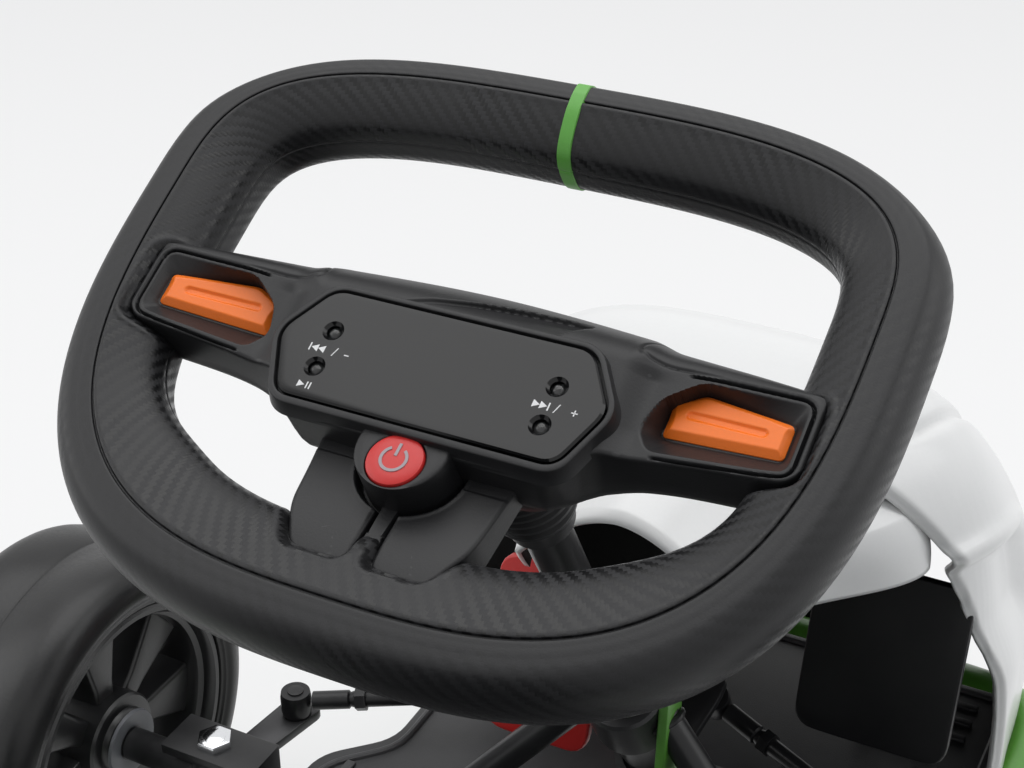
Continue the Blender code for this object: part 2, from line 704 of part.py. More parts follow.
def tie_rod(side, label):
    """The rod from the pitman arm's tip, where its pivot is left open, to the knuckle arm."""
    outer = Vector(
        (
            side * (KINGPIN_X - ARM_INSET),
            FRONT_AXLE_Y - ARM_REACH,
            FRONT_TYRE_RADIUS + ARM_LIFT + ARM_THICKNESS / 2 + GAP + TIE_EYE_HEIGHT / 2,
        )
    )
    pivot = empty(f"tie_rod_axis_{label}", outer)
    inner = pitman_tip(side) - outer
    body = tube("tie_rod", [(0, 0, 0), inner], TIE_ROD_RADIUS, 2)
    body = place(f"tie_rod_{label}", body, BLACK_PLASTIC, pivot)
    boolean(body, "UNION", rod("outer_eye", TIE_EYE_RADIUS, TIE_EYE_HEIGHT, (0, 0, 0), "Z", 14))
    eye = rod("inner_eye", TIE_EYE_RADIUS, TIE_EYE_HEIGHT, (0, 0, 0), "Z", 14)
    boolean(body, "UNION", moved(eye, inner, (-STEER_TILT, 0, 0)))


def pitman_tip(side):
    """Where a tie rod's inner eye sits, just above the pitman arm."""
    normal = Vector((0, math.sin(STEER_TILT), math.cos(STEER_TILT)))
    ahead = Vector((0, -math.cos(STEER_TILT), math.sin(STEER_TILT)))
    lift = PITMAN_THICKNESS / 2 + TIE_EYE_CLEARANCE + TIE_EYE_HEIGHT / 2
    foot = column_point(COLUMN_LENGTH - PITMAN_THICKNESS / 2)
    return foot + ahead * PITMAN_REACH + normal * lift + Vector((side * PITMAN_SPREAD, 0, 0))


def grip_point(angle):
    """A point on the rim's middle line; angle 0 is the top, and x grows clockwise for the driver."""
    height, power = (GRIP_TOP, GRIP_TOP_POWER) if math.cos(angle) > 0 else (GRIP_BOTTOM, GRIP_BOTTOM_POWER)
    across = math.copysign(abs(math.sin(angle)) ** (2 / power), math.sin(angle))
    upright = math.copysign(abs(math.cos(angle)) ** (2 / power), math.cos(angle))
    return Vector((GRIP_HALF_WIDTH * across, GRIP_WIDEST_Y + height * upright, GRIP_Z))


def even_route(function, count):
    """Points at equal steps along a closed curve given by an angle."""
    fine = [function(2 * math.pi * index / 1440) for index in range(1441)]
    lengths = [0.0]
    for here, there in zip(fine, fine[1:]):
        lengths.append(lengths[-1] + (there - here).length)
    route, place_on = [], 0
    for index in range(count):
        target = lengths[-1] * index / count
        while lengths[place_on + 1] < target:
            place_on += 1
        span = lengths[place_on + 1] - lengths[place_on]
        route.append(fine[place_on].lerp(fine[place_on + 1], (target - lengths[place_on]) / span))
    return route


def swept_ring(name, route, width, depth, sides, closed=True):
    """A tube of oval section, flat to the route's plane, along a route in one plane."""
    bm = bmesh.new()
    rings = []
    count = len(route)
    for index, centre in enumerate(route):
        before = route[index - 1] if closed or index else centre
        after = route[(index + 1) % count] if closed or index < count - 1 else centre
        along = (after - before).normalized()
        outward = along.cross(Vector((0, 0, 1)))
        ring = []
        for step in range(sides):
            angle = 2 * math.pi * (step + 0.5) / sides
            offset = outward * (width / 2 * math.cos(angle)) + Vector((0, 0, depth / 2 * math.sin(angle)))
            ring.append(bm.verts.new(centre + offset))
        rings.append(ring)
    last = count if closed else count - 1
    for index in range(last):
        near, far = rings[index], rings[(index + 1) % count]
        for step in range(sides):
            bm.faces.new((near[step], near[step - 1], far[step - 1], far[step]))
    if not closed:
        bm.faces.new(rings[0])
        bm.faces.new(rings[-1])
    return from_bmesh(bm, name)


def steering_wheel(frame):
    """Rim, band, face, display, buttons and hub of the steering wheel, drawn in its own plane."""
    rim = swept_ring(
        "steering_wheel_rim",
        even_route(grip_point, GRIP_STEPS),
        GRIP_SECTION_WIDTH,
        GRIP_SECTION_DEPTH,
        GRIP_SIDES,
    )
    place("steering_wheel_rim", rim, CARBON_GRIP, frame)
    top = grip_point(0)
    core_width = GRIP_SECTION_WIDTH - 2 * BAND_DEPTH
    core_height = GRIP_SECTION_DEPTH - 2 * BAND_DEPTH

    def band_ring(name, half_length, width, height):
        route = [top + Vector((half_length * step, 0, 0)) for step in (1, -1)]
        return swept_ring(name, route, width, height, GRIP_SIDES, closed=False)

    groove = band_ring("band_groove", BAND_WIDTH / 2 + GAP, GRIP_SECTION_WIDTH * 1.5, GRIP_SECTION_DEPTH * 1.5)
    core = place("band_core", band_ring("band_core", BAND_WIDTH, core_width, core_height), cutter=True, parent=frame)
    keep = groove.modifiers.new("keep_core", "BOOLEAN")
    keep.operation = "DIFFERENCE"
    keep.object = core
    boolean(rim, "DIFFERENCE", groove)
    band = band_ring(
        "top_band", BAND_WIDTH / 2, GRIP_SECTION_WIDTH + 2 * BAND_PROUD, GRIP_SECTION_DEPTH + 2 * BAND_PROUD
    )
    band = place("top_band", band, GREEN_PAINT, frame)
    boolean(band, "DIFFERENCE", band_ring("band_hole", BAND_WIDTH, core_width + 2 * GAP, core_height + 2 * GAP))
    for cut in face_cutters():
        boolean(rim, "DIFFERENCE", cut)
    steering_face(frame)
    lower_spokes(frame)
    hub_parts(frame)
    place(
        "rim_screw",
        rod("rim_screw", RIM_SCREW_RADIUS, RIM_SCREW_LENGTH, rim_screw_place(), "Z", 14, RIM_SCREW_RADIUS * 0.7),
        BLACK_PLASTIC,
        frame,
    )


def rim_screw_place():
    bottom = grip_point(math.pi)
    return (0, bottom.y, GRIP_Z - GRIP_SECTION_DEPTH / 2 - GAP - RIM_SCREW_LENGTH / 2)


def face_outline(extra=0.0):
    """The crossbar seen from the driver's seat, grown by extra all round."""
    half = [
        (0, FACE_CENTRE_TOP + extra),
        (FACE_CENTRE_HALF * 0.8, FACE_CENTRE_TOP + extra),
        (FACE_CENTRE_HALF * 1.1, FACE_END_TOP + extra),
        (FACE_HALF_WIDTH + extra, FACE_END_TOP + extra),
        (FACE_HALF_WIDTH + extra, FACE_END_BOTTOM - extra),
        (FACE_CENTRE_HALF * 1.1, FACE_END_BOTTOM * 1.15 - extra),
        (FACE_CENTRE_HALF * 0.9, FACE_CENTRE_BOTTOM - extra),
        (0, FACE_CENTRE_BOTTOM - extra),
    ]
    return flat_rounded(mirrored(half[1:-1]), 0.006)


def foot_outline(side, extra=0.0):
    """One of the two pads of the lower spoke."""
    points = [
        (side * (FOOT_INNER_X - extra), FACE_CENTRE_BOTTOM - GAP + extra),
        (side * (FOOT_TOP_X + extra), FACE_CENTRE_BOTTOM - GAP + extra),
        (side * (FOOT_BOTTOM_X + extra), FOOT_BOTTOM + FOOT_SLANT - extra),
        (side * (FOOT_BOTTOM_X - FOOT_SLANT + extra), FOOT_BOTTOM - extra),
        (side * (FOOT_INNER_X - extra), FOOT_BOTTOM - extra),
    ]
    return flat_rounded(points, FOOT_CORNER)


def face_cutters():
    """Room in the rim for the crossbar's ends and the lower spoke's pads."""
    depth = 2 * GRIP_SECTION_DEPTH
    cuts = [moved(flat("face_room", face_outline(GAP), depth), (0, 0, FACE_BASE_Z - GAP + depth / 2))]
    for side, _ in SIDES:
        room = flat("foot_room", foot_outline(side, GAP), depth)
        cuts.append(moved(room, (0, 0, FOOT_Z - FOOT_THICKNESS - GAP + depth / 2)))
    return cuts


def display_outline(extra=0.0):
    half = [
        (DISPLAY_TOP_HALF + extra * 0.6, DISPLAY_TOP + extra),
        (DISPLAY_HALF_WIDTH + extra, DISPLAY_MIDDLE),
        (DISPLAY_BOTTOM_HALF + extra * 0.6, DISPLAY_BOTTOM - extra),
    ]
    return flat_rounded(mirrored(half), 0.006)


def pocket_outline(side):
    points = [
        (-side * POCKET_HALF_LENGTH, -POCKET_HALF_HEIGHT * 0.4),
        (-side * (POCKET_HALF_LENGTH - POCKET_POINT), POCKET_HALF_HEIGHT),
        (side * POCKET_HALF_LENGTH, POCKET_HALF_HEIGHT),
        (side * POCKET_HALF_LENGTH, -POCKET_HALF_HEIGHT),
        (-side * (POCKET_HALF_LENGTH - POCKET_POINT / 2), -POCKET_HALF_HEIGHT),
    ]
    return flat_rounded(points, BUTTON_STEM_RADIUS)


def button_outline(side):
    points = [
        (-side * BUTTON_HALF_LENGTH, (BUTTON_INNER_TOP + BUTTON_INNER_BOTTOM) / 3),
        (-side * (BUTTON_HALF_LENGTH - BUTTON_POINT), BUTTON_INNER_TOP),
        (side * BUTTON_HALF_LENGTH, BUTTON_OUTER_TOP),
        (side * BUTTON_HALF_LENGTH, BUTTON_OUTER_BOTTOM),
        (-side * BUTTON_HALF_LENGTH, BUTTON_INNER_BOTTOM),
    ]
    return flat_rounded(points, BUTTON_EASE)


def on_slope(side, height):
    """A point this far above the middle of a pocket's floor, along the floor's own normal."""
    lean = math.sin(POCKET_SLOPE) * height
    return side * (POCKET_X - lean), POCKET_Y, POCKET_FLOOR_Z + math.cos(POCKET_SLOPE) * height


def slope_turn(side):
    return (0, -side * POCKET_SLOPE, 0)


def back_outline():
    """The crossbar's raised back, behind the display."""
    half = [
        (BACK_SHOULDER_X / 2, BACK_TOP),
        (BACK_SHOULDER_X, BACK_SHOULDER_Y),
        (BACK_END_X, BACK_END_Y),
        (BACK_END_X, 0),
    ]
    return flat_rounded(mirrored(half), FOOT_CORNER)


def leaning(along, up=0.0):
    """A point of the power button's leaning frame: along its axis from the collar's top, and up the collar."""
    return (
        0,
        POWER_Y + up * math.cos(POWER_LEAN) - along * math.sin(POWER_LEAN),
        POWER_Z + up * math.sin(POWER_LEAN) + along * math.cos(POWER_LEAN),
    )


def steering_face(frame):
    """Crossbar with its display, its two horn buttons, four plungers and the power button."""
    face_height = FACE_TOP_Z - FACE_BASE_Z
    face = moved(flat("face", face_outline(), face_height), (0, 0, (FACE_TOP_Z + FACE_BASE_Z) / 2))
    face = place("steering_wheel_face", face, BLACK_PLASTIC, frame)
    back_height = BACK_FRONT_Z - FACE_BASE_Z
    back = moved(flat("back", back_outline(), back_height), (0, 0, (BACK_FRONT_Z + FACE_BASE_Z) / 2))
    bezel_height = FACE_TOP_Z - FACE_BASE_Z
    bezel = flat("bezel", display_outline(BEZEL_MARGIN), bezel_height)
    collar = rod("collar", COLLAR_RADIUS, COLLAR_DEPTH, (0, 0, 0), "Z", 24)
    boolean(
        face, "UNION", back, moved(bezel, (0, 0, BEZEL_TOP_Z - bezel_height / 2)),
        moved(collar, leaning(-COLLAR_DEPTH / 2, COLLAR_RISE), (POWER_LEAN, 0, 0)),
    )
    display(frame, face)
    for side, label in SIDES:
        horn_button(frame, face, -side, label)
    power_button(frame, face)


def display(frame, face):
    """The glass, the circuit board behind it and the four clear plungers through both."""
    glass_base = BEZEL_TOP_Z + DISPLAY_PROUD - DISPLAY_THICKNESS
    glass_room = flat("glass_room", display_outline(GAP), POCKET_ROOM)
    boolean(face, "DIFFERENCE", moved(glass_room, (0, 0, glass_base - GAP + POCKET_ROOM / 2)))
    glass = flat("glass", display_outline(), DISPLAY_THICKNESS)
    glass = place("display_glass", moved(glass, (0, 0, glass_base + DISPLAY_THICKNESS / 2)), GLOSS_BLACK, frame)
    board_z = FACE_BASE_Z + BOARD_THICKNESS + 2 * GAP
    length = 2 * DISPLAY_TOP_HALF + 2 * BOARD_MARGIN
    height = DISPLAY_TOP - DISPLAY_BOTTOM - 2 * BOARD_MARGIN
    middle = (DISPLAY_TOP + DISPLAY_BOTTOM) / 2
    recess_size = (length + 4 * RUN_GAP, height + 4 * RUN_GAP, POCKET_ROOM)
    boolean(face, "DIFFERENCE", block("board_room", recess_size, (0, middle, board_z + GAP - POCKET_ROOM / 2)))
    board = block("board", (length, height, BOARD_THICKNESS), (0, middle, board_z - BOARD_THICKNESS / 2))
    place("control_board", board, BOARD_GREEN, frame)
    top = BEZEL_TOP_Z + DISPLAY_PROUD - PLUNGER_SINK
    low = board_z + PLUNGER_TRAVEL + GAP
    for side, label in SIDES:
        for y, level in ((PLUNGER_UPPER_Y, "upper"), (PLUNGER_LOWER_Y, "lower")):
            at = (-side * PLUNGER_X, y)
            for target in (face, glass):
                hole = rod("plunger_hole", PLUNGER_RADIUS + GAP, THROUGH, (*at, 0), "Z", 14)
                boolean(target, "DIFFERENCE", hole)
            axis = empty(f"plunger_axis_{label}_{level}", (*at, top), parent=frame)
            plunger = rod("plunger", PLUNGER_RADIUS, top - low, (0, 0, (low - top) / 2), "Z", 14)
            place(f"{level}_{label}_plunger", plunger, CLEAR_PLASTIC, axis)


def horn_button(frame, face, side, label):
    """A horn button in its pocket, which slopes down towards the display; side is +1 on the driver's right."""
    turn = slope_turn(side)
    room = flat("pocket", pocket_outline(side), POCKET_ROOM)
    boolean(face, "DIFFERENCE", moved(room, on_slope(side, POCKET_ROOM / 2), turn))
    hole = rod("stem_hole", BUTTON_STEM_RADIUS + GAP, THROUGH, (0, 0, 0), "Z", 12)
    boolean(face, "DIFFERENCE", moved(hole, on_slope(side, 0), turn))
    axis = empty(f"horn_button_axis_{label}", on_slope(side, 0), turn, frame)
    body = flat("button", button_outline(side), BUTTON_HEIGHT)
    body = moved(body, (0, 0, BUTTON_TRAVEL + GAP + BUTTON_HEIGHT / 2))
    body = place(f"horn_button_{label}", body, ORANGE_PLASTIC, axis)
    bevel_top(body, BUTTON_EASE)
    wall = POCKET_FLOOR_Z - FACE_BASE_Z - BUTTON_STEM_RADIUS * math.sin(POCKET_SLOPE)
    stem_low = BUTTON_TRAVEL + GAP - wall / math.cos(POCKET_SLOPE)
    stem_top = BUTTON_TRAVEL + GAP + BUTTON_HEIGHT / 2
    stem_middle = (0, 0, (stem_top + stem_low) / 2)
    boolean(body, "UNION", rod("stem", BUTTON_STEM_RADIUS, stem_top - stem_low, stem_middle, "Z", 12))


def power_button(frame, face):
    """The round power button in its leaning collar."""
    turn = (POWER_LEAN, 0, 0)
    room_depth = POWER_HEIGHT - POWER_PROUD + POWER_TRAVEL + GAP
    cut = rod("power_room", POWER_RADIUS + GAP, POCKET_ROOM, (0, 0, 0), "Z", 24)
    boolean(face, "DIFFERENCE", moved(cut, leaning(POCKET_ROOM / 2 - room_depth), turn))
    hole = rod("power_stem_hole", BUTTON_STEM_RADIUS + GAP, THROUGH, (0, 0, 0), "Z", 12)
    boolean(face, "DIFFERENCE", moved(hole, leaning(0), turn))
    axis = empty("power_button_axis", leaning(0), turn, frame)
    cap = rod("power", POWER_RADIUS, POWER_HEIGHT, (0, 0, POWER_PROUD - POWER_HEIGHT / 2), "Z", 24)
    cap = place("power_button", cap, RED_PLASTIC, axis)
    stem_low = POWER_TRAVEL + GAP + BUTTON_STEM_RADIUS * math.sin(POWER_LEAN) - COLLAR_DEPTH
    stem_top = POWER_PROUD - POWER_HEIGHT / 2
    stem = rod("stem", BUTTON_STEM_RADIUS, stem_top - stem_low, (0, 0, (stem_top + stem_low) / 2), "Z", 12)
    boolean(cap, "UNION", stem)


def bevel_top(obj, width):
    """Eases the edges of an extruded button."""
    edge = obj.modifiers.new("ease", "BEVEL")
    edge.width = width
    edge.segments = 1
    edge.limit_method = "ANGLE"
    edge.angle_limit = math.radians(60)


def lower_spokes(frame):
    for side, label in SIDES:
        pad = flat("pad", foot_outline(-side), FOOT_THICKNESS)
        pad = moved(pad, (0, 0, FOOT_Z - FOOT_THICKNESS / 2))
        pad = place(f"lower_spoke_{label}", pad, BLACK_PLASTIC, frame)
        room = rod("collar_room", COLLAR_RADIUS + GAP, THROUGH, (0, 0, 0), "Z", 24)
        boolean(pad, "DIFFERENCE", moved(room, leaning(0, COLLAR_RISE), (POWER_LEAN, 0, 0)))


def hub_parts(frame):
    """Rear cover, boot and steering column with the pitman arm at its foot."""
    cover_top = FACE_BASE_Z - GAP
    half = [
        (HUB_HALF_WIDTH * 0.55, HUB_TOP),
        (HUB_HALF_WIDTH, HUB_TOP * 0.45),
        (HUB_HALF_WIDTH, HUB_BOTTOM * 0.7),
        (HUB_HALF_WIDTH * 0.6, HUB_BOTTOM),
    ]
    cover = flat("cover", flat_rounded(mirrored(half), 0.010), HUB_DEPTH)
    cover = place("steering_wheel_rear_cover", moved(cover, (0, 0, cover_top - HUB_DEPTH / 2)), BLACK_PLASTIC, frame)
    boss_length = BOSS_LENGTH + 0.004
    boss_z = cover_top - HUB_DEPTH + 0.004 - boss_length / 2
    boolean(cover, "UNION", rod("boss", BOSS_RADIUS * 0.8, boss_length, (0, 0, boss_z), "Z", 24, BOSS_RADIUS))
    socket_middle = (0, 0, GAP - COLUMN_TOP - THROUGH / 2)
    boolean(cover, "DIFFERENCE", rod("socket", COLUMN_RADIUS + GAP, THROUGH, socket_middle, "Z", 20))
    column_length = COLUMN_LENGTH - COLUMN_TOP
    column = rod("column", COLUMN_RADIUS, column_length, (0, 0, -COLUMN_TOP - column_length / 2), "Z", 20)
    column = place("steering_column", column, BLACK_PLASTIC, frame)
    half = [
        (COLUMN_RADIUS, -COLUMN_RADIUS * 0.8),
        (PITMAN_SPREAD + PITMAN_TIP_RADIUS, PITMAN_REACH - PITMAN_TIP_RADIUS * 0.5),
        (PITMAN_SPREAD + PITMAN_TIP_RADIUS * 0.6, PITMAN_REACH + PITMAN_TIP_RADIUS),
    ]
    pitman = flat("pitman", flat_rounded(mirrored(half), 0.005), PITMAN_THICKNESS)
    boolean(column, "UNION", moved(pitman, (0, 0, -COLUMN_LENGTH + PITMAN_THICKNESS / 2)))
    boot_top = cover_top - HUB_DEPTH - BOSS_LENGTH - GAP
    bore = COLUMN_RADIUS + GAP
    profile = [
        (SHROUD_TOP_RADIUS, boot_top),
        (SHROUD_BOTTOM_RADIUS, boot_top - SHROUD_LENGTH),
        (SHROUD_BOTTOM_RADIUS - SHROUD_WALL, boot_top - SHROUD_LENGTH),
        (SHROUD_TOP_RADIUS - SHROUD_WALL, boot_top - SHROUD_WALL),
        (bore, boot_top - SHROUD_WALL),
        (bore, boot_top),
    ]
    place("column_boot", turned("column_boot", profile, 24), BLACK_PLASTIC, frame)


def pedal(label, x, width, pad_y, pivot_y, top, low, finish):
    """A hinged pedal on its own bracket; its origin is on its pivot."""
    pivot = empty(f"{label}_axis", (x, pivot_y, PIVOT_Z))
    middle = Vector((0, pad_y - pivot_y, (top + low) / 2 - PIVOT_Z))
    pad_height = (top - low) / math.cos(PAD_LEAN)
    outline = flat_rounded(
        [
            (width / 2, pad_height / 2),
            (width / 2, -pad_height / 2),
            (-width / 2, -pad_height / 2),
            (-width / 2, pad_height / 2),
        ],
        PAD_CORNER,
    )
    pad = moved(flat("pad", outline, PAD_THICKNESS), middle, (math.pi / 2 + PAD_LEAN, 0, 0))
    pad = place(label, pad, finish, pivot)
    elbow_z = middle.z * 0.75
    side_view = [
        (-ARM_BAR / 2, 0),
        (-ARM_BAR / 2, elbow_z + ARM_BAR / 2),
        (middle.y, middle.z + ARM_BAR / 2),
        (middle.y, middle.z - ARM_BAR / 2),
        (ARM_BAR / 2, elbow_z - ARM_BAR / 2),
        (ARM_BAR / 2, 0),
    ]
    bar = moved(flat("bar", side_view, ARM_WIDTH), (0, 0, 0), (math.pi / 2, 0, math.pi / 2))
    barrel_width = ARM_WIDTH + 0.014
    boolean(pad, "UNION", bar, rod("barrel", PIVOT_RADIUS, barrel_width, (0, 0, 0), "X", 16))
    boolean(pad, "DIFFERENCE", rod("pin_hole", PIVOT_PIN_RADIUS + GAP, THROUGH, (0, 0, 0), "X", 12))
    base_z = DECK_TOP + GAP + BRACKET_THICKNESS / 2
    ear_x = barrel_width / 2 + RUN_GAP + BRACKET_THICKNESS / 2
    depth = 2 * PIVOT_RADIUS
    bracket = block("base", (2 * ear_x + BRACKET_THICKNESS, depth, BRACKET_THICKNESS), (x, pivot_y, base_z))
    bracket = place(f"{label}_bracket", bracket, BRIGHT_STEEL)
    ear_height = PIVOT_Z + PIVOT_RADIUS * 0.8 - DECK_TOP - GAP
    for side, _ in SIDES:
        at = (x + side * ear_x, pivot_y, DECK_TOP + GAP + ear_height / 2)
        boolean(bracket, "UNION", block("ear", (BRACKET_THICKNESS, depth, ear_height), at))
    pin_length = 2 * ear_x + BRACKET_THICKNESS
    boolean(bracket, "UNION", rod("pin", PIVOT_PIN_RADIUS, pin_length, (x, pivot_y, PIVOT_Z), "X", 12))


def deck():
    """The footwell floor, with its slot for the column and holes for the column's legs."""
    half = [
        (DECK_FRONT_X, DECK_FRONT_Y),
        (DECK_FRONT_X, DECK_NARROW_Y),
        (DECK_FLARE_X, DECK_WIDE_Y),
        (DECK_FLARE_X, DECK_REAR_Y - 0.040),
        (DECK_FRONT_X - 0.010, DECK_REAR_Y),
    ]
    slot = [
        (DECK_SLOT_X, DECK_SLOT_FRONT),
        (DECK_SLOT_X, DECK_SLOT_REAR),
    ]
    panel = flat("deck", flat_rounded(mirrored(half), 0.012), DECK_THICKNESS, [flat_rounded(mirrored(slot), 0.008)])
    panel = place("footwell_deck", moved(panel, (0, 0, DECK_TOP - DECK_THICKNESS / 2)), DARK_DECK)
    for side, _ in SIDES:
        top, foot = support_leg(side)
        boolean(panel, "DIFFERENCE", tube("leg_room", [top, foot], SUPPORT_RADIUS + 0.002, 2))
    return panel


def support_leg(side):
    """Top and foot of one of the two struts that hold the column's bearing."""
    bearing = column_point(BEARING_PLACE)
    top = (side * (COLUMN_RADIUS + BEARING_WALL * 0.6), bearing.y, bearing.z)
    return top, (side * RAIL_WAIST_X, FRONT_AXLE_Y - 0.030, RAIL_Z)


def between(stations, value):
    """Smooth interpolation of the columns of a list of stations by its first column."""
    for low, high in zip(stations, stations[1:]):
        if value <= high[0]:
            share = (value - low[0]) / (high[0] - low[0])
            return [a + (b - a) * share for a, b in zip(low[1:], high[1:])]
    return stations[-1][1:]


def cowl_point(along, across):
    """A point of the cowl's outer skin: along 0 is the nose, 1 the rear lip; across is -1 to 1."""
    rear = COWL_REAR_Y + (COWL_SIDE_REAR_Y - COWL_REAR_Y) * abs(across) ** 1.5
    y = COWL_FRONT_Y + (rear - COWL_FRONT_Y) * along
    half, top = between(COWL_STATIONS, y)
    angle = across * math.pi / 2
    x = half * math.copysign(abs(math.sin(angle)) ** (2 / COWL_POWER), angle)
    z = COWL_BASE_Z + (top - COWL_BASE_Z) * abs(math.cos(angle)) ** (2 / COWL_POWER)
    return x, y, z


def skin(name, point, rows, columns):
    """An open sheet over a grid, point(along, across) giving its places."""
    bm = bmesh.new()
    bmesh.ops.create_grid(bm, x_segments=columns, y_segments=rows, size=1.0)
    for vert in bm.verts:
        vert.co = point((vert.co.y + 1) / 2, vert.co.x)
    mesh = bpy.data.meshes.new(name)
    bm.to_mesh(mesh)
    bm.free()
    return bpy.data.objects.new(name, mesh)


def walled(obj, thickness, inward):
    """Gives an open sheet its wall."""
    wall = obj.modifiers.new("wall", "SOLIDIFY")
    wall.thickness = thickness
    wall.offset = -1 if inward else 1
    wall.use_even_offset = True
    return obj


def cowl():
    sheet = skin("front_cowl", cowl_point, COWL_ROWS, COWL_COLUMNS)
    walled(place("front_cowl", sheet, WHITE_PLASTIC), COWL_WALL, True)
    half = between(COWL_STATIONS, COWL_FRONT_Y)[0]
    grille = block(
        "grille", (2 * (half - COWL_WALL) - 0.024, BUMPER_DEPTH, BUMPER_HEIGHT),
        (0, RAIL_FRONT_Y - TUBE_RADIUS - GAP - BUMPER_DEPTH / 2, RAIL_Z), 0.006,
    )
    place("front_bumper", grille, BLACK_PLASTIC)


def seat_point(along, across):
    """A point of the seat's inner skin: along 0 is the front of the pan, 1 the top of the back."""
    y, z, half, lift, forward = between(SEAT_STATIONS, along)
    edge = abs(across) ** 3
    x = half * across * (1 - 0.06 * edge)
    return x, y - forward * edge, z + lift * edge


def seat():
    slide = empty("seat_slide_axis", (0, SEAT_TUBE_FRONT_Y, SLIDE_RAIL_TOP))
    shell = skin("seat_shell", lambda along, across: slide_local(seat_point(along, across)), 16, 12)
    shell = walled(place("seat_shell", shell, BLACK_PLASTIC, slide), SEAT_WALL, True)
    for side, label in SIDES:
        foot_height = SEAT_FOOT_TOP - SLIDE_RAIL_TOP - GAP
        centre = (side * SLIDE_RAIL_X, SEAT_FOOT_Y, SLIDE_RAIL_TOP + GAP + foot_height / 2)
        foot = block("foot", (SLIDE_RAIL_WIDTH, SEAT_FOOT_LENGTH, foot_height), slide_local(centre))
        boolean(shell, "UNION", foot)
        rail_z = SLIDE_RAIL_TOP - SLIDE_RAIL_HEIGHT / 2
        rail_y = SLIDE_RAIL_FRONT + SLIDE_RAIL_LENGTH / 2
        rail_size = (SLIDE_RAIL_WIDTH, SLIDE_RAIL_LENGTH, SLIDE_RAIL_HEIGHT)
        rail = block("rail", rail_size, (side * SLIDE_RAIL_X, rail_y, rail_z), 0.002)
        place(f"seat_rail_{label}", rail, BRIGHT_STEEL)


def slide_local(point):
    return (point[0], point[1] - SEAT_TUBE_FRONT_Y, point[2] - SLIDE_RAIL_TOP)


def drive_side(side, label):
    """Gearbox casing, its output gear and motor beside one rear wheel."""
    inner = RAIL_REAR_X + TUBE_RADIUS + GAP
    casing_x = inner + GEARBOX_WIDTH / 2
    middle_y = REAR_AXLE_Y - GEARBOX_REACH / 2
    casing = block(
        "casing", (GEARBOX_WIDTH, GEARBOX_LENGTH, GEARBOX_HEIGHT), (side * casing_x, middle_y, REAR_TYRE_RADIUS), 0.008
    )
    casing = place(f"gearbox_{label}", casing, BLACK_PLASTIC)
    cavity_width = GEARBOX_WIDTH - 2 * GEARBOX_WALL
    cavity = rod(
        "cavity", DRIVE_GEAR_RADIUS + 0.002, cavity_width, (side * casing_x, REAR_AXLE_Y, REAR_TYRE_RADIUS), "X", 24
    )
    boolean(casing, "DIFFERENCE", cavity)
    mouth_middle = (side * (inner + GEARBOX_WIDTH), REAR_AXLE_Y, REAR_TYRE_RADIUS)
    mouth = rod("mouth", SLEEVE_RADIUS + RUN_GAP, GEARBOX_WIDTH, mouth_middle, "X", 20)
    boolean(casing, "DIFFERENCE", mouth)
    bore = rod("bore", REAR_AXLE_RADIUS + GAP, THROUGH, (side * casing_x, REAR_AXLE_Y, REAR_TYRE_RADIUS), "X", 16)
    boolean(casing, "DIFFERENCE", bore)
    gear_place = (side * casing_x, REAR_AXLE_Y, REAR_TYRE_RADIUS)
    gear_axis = empty(f"drive_gear_axis_{label}", gear_place, (0, side * math.pi / 2, 0))
    outline = []
    for tooth in range(DRIVE_GEAR_TEETH):
        for share, radius in ((0.0, 0.9), (0.3, 0.9), (0.4, 1.0), (0.75, 1.0)):
            angle = 2 * math.pi * (tooth + share) / DRIVE_GEAR_TEETH
            reach = DRIVE_GEAR_RADIUS * radius
            outline.append((reach * math.cos(angle), reach * math.sin(angle)))
    gear = place(f"drive_gear_{label}", flat("gear", outline, DRIVE_GEAR_WIDTH), BRIGHT_STEEL, gear_axis)
    sleeve_end = TYRE_OUTER_X - REAR_TYRE_WIDTH + RIM_LIP - GAP - casing_x
    boolean(gear, "UNION", rod("sleeve", SLEEVE_RADIUS, sleeve_end, (0, 0, sleeve_end / 2), "Z", 20))
    boolean(gear, "DIFFERENCE", rod("bore", REAR_AXLE_RADIUS + GAP, 2 * THROUGH, (0, 0, 0), "Z", 16))
    motor_x = inner - GAP - MOTOR_LENGTH / 2
    motor_at = (side * motor_x, REAR_AXLE_Y - MOTOR_OFFSET, REAR_TYRE_RADIUS + MOTOR_RISE)
    motor = rod("motor", MOTOR_RADIUS, MOTOR_LENGTH, motor_at, "X", 20)
    place(f"drive_motor_{label}", motor, BRIGHT_STEEL)


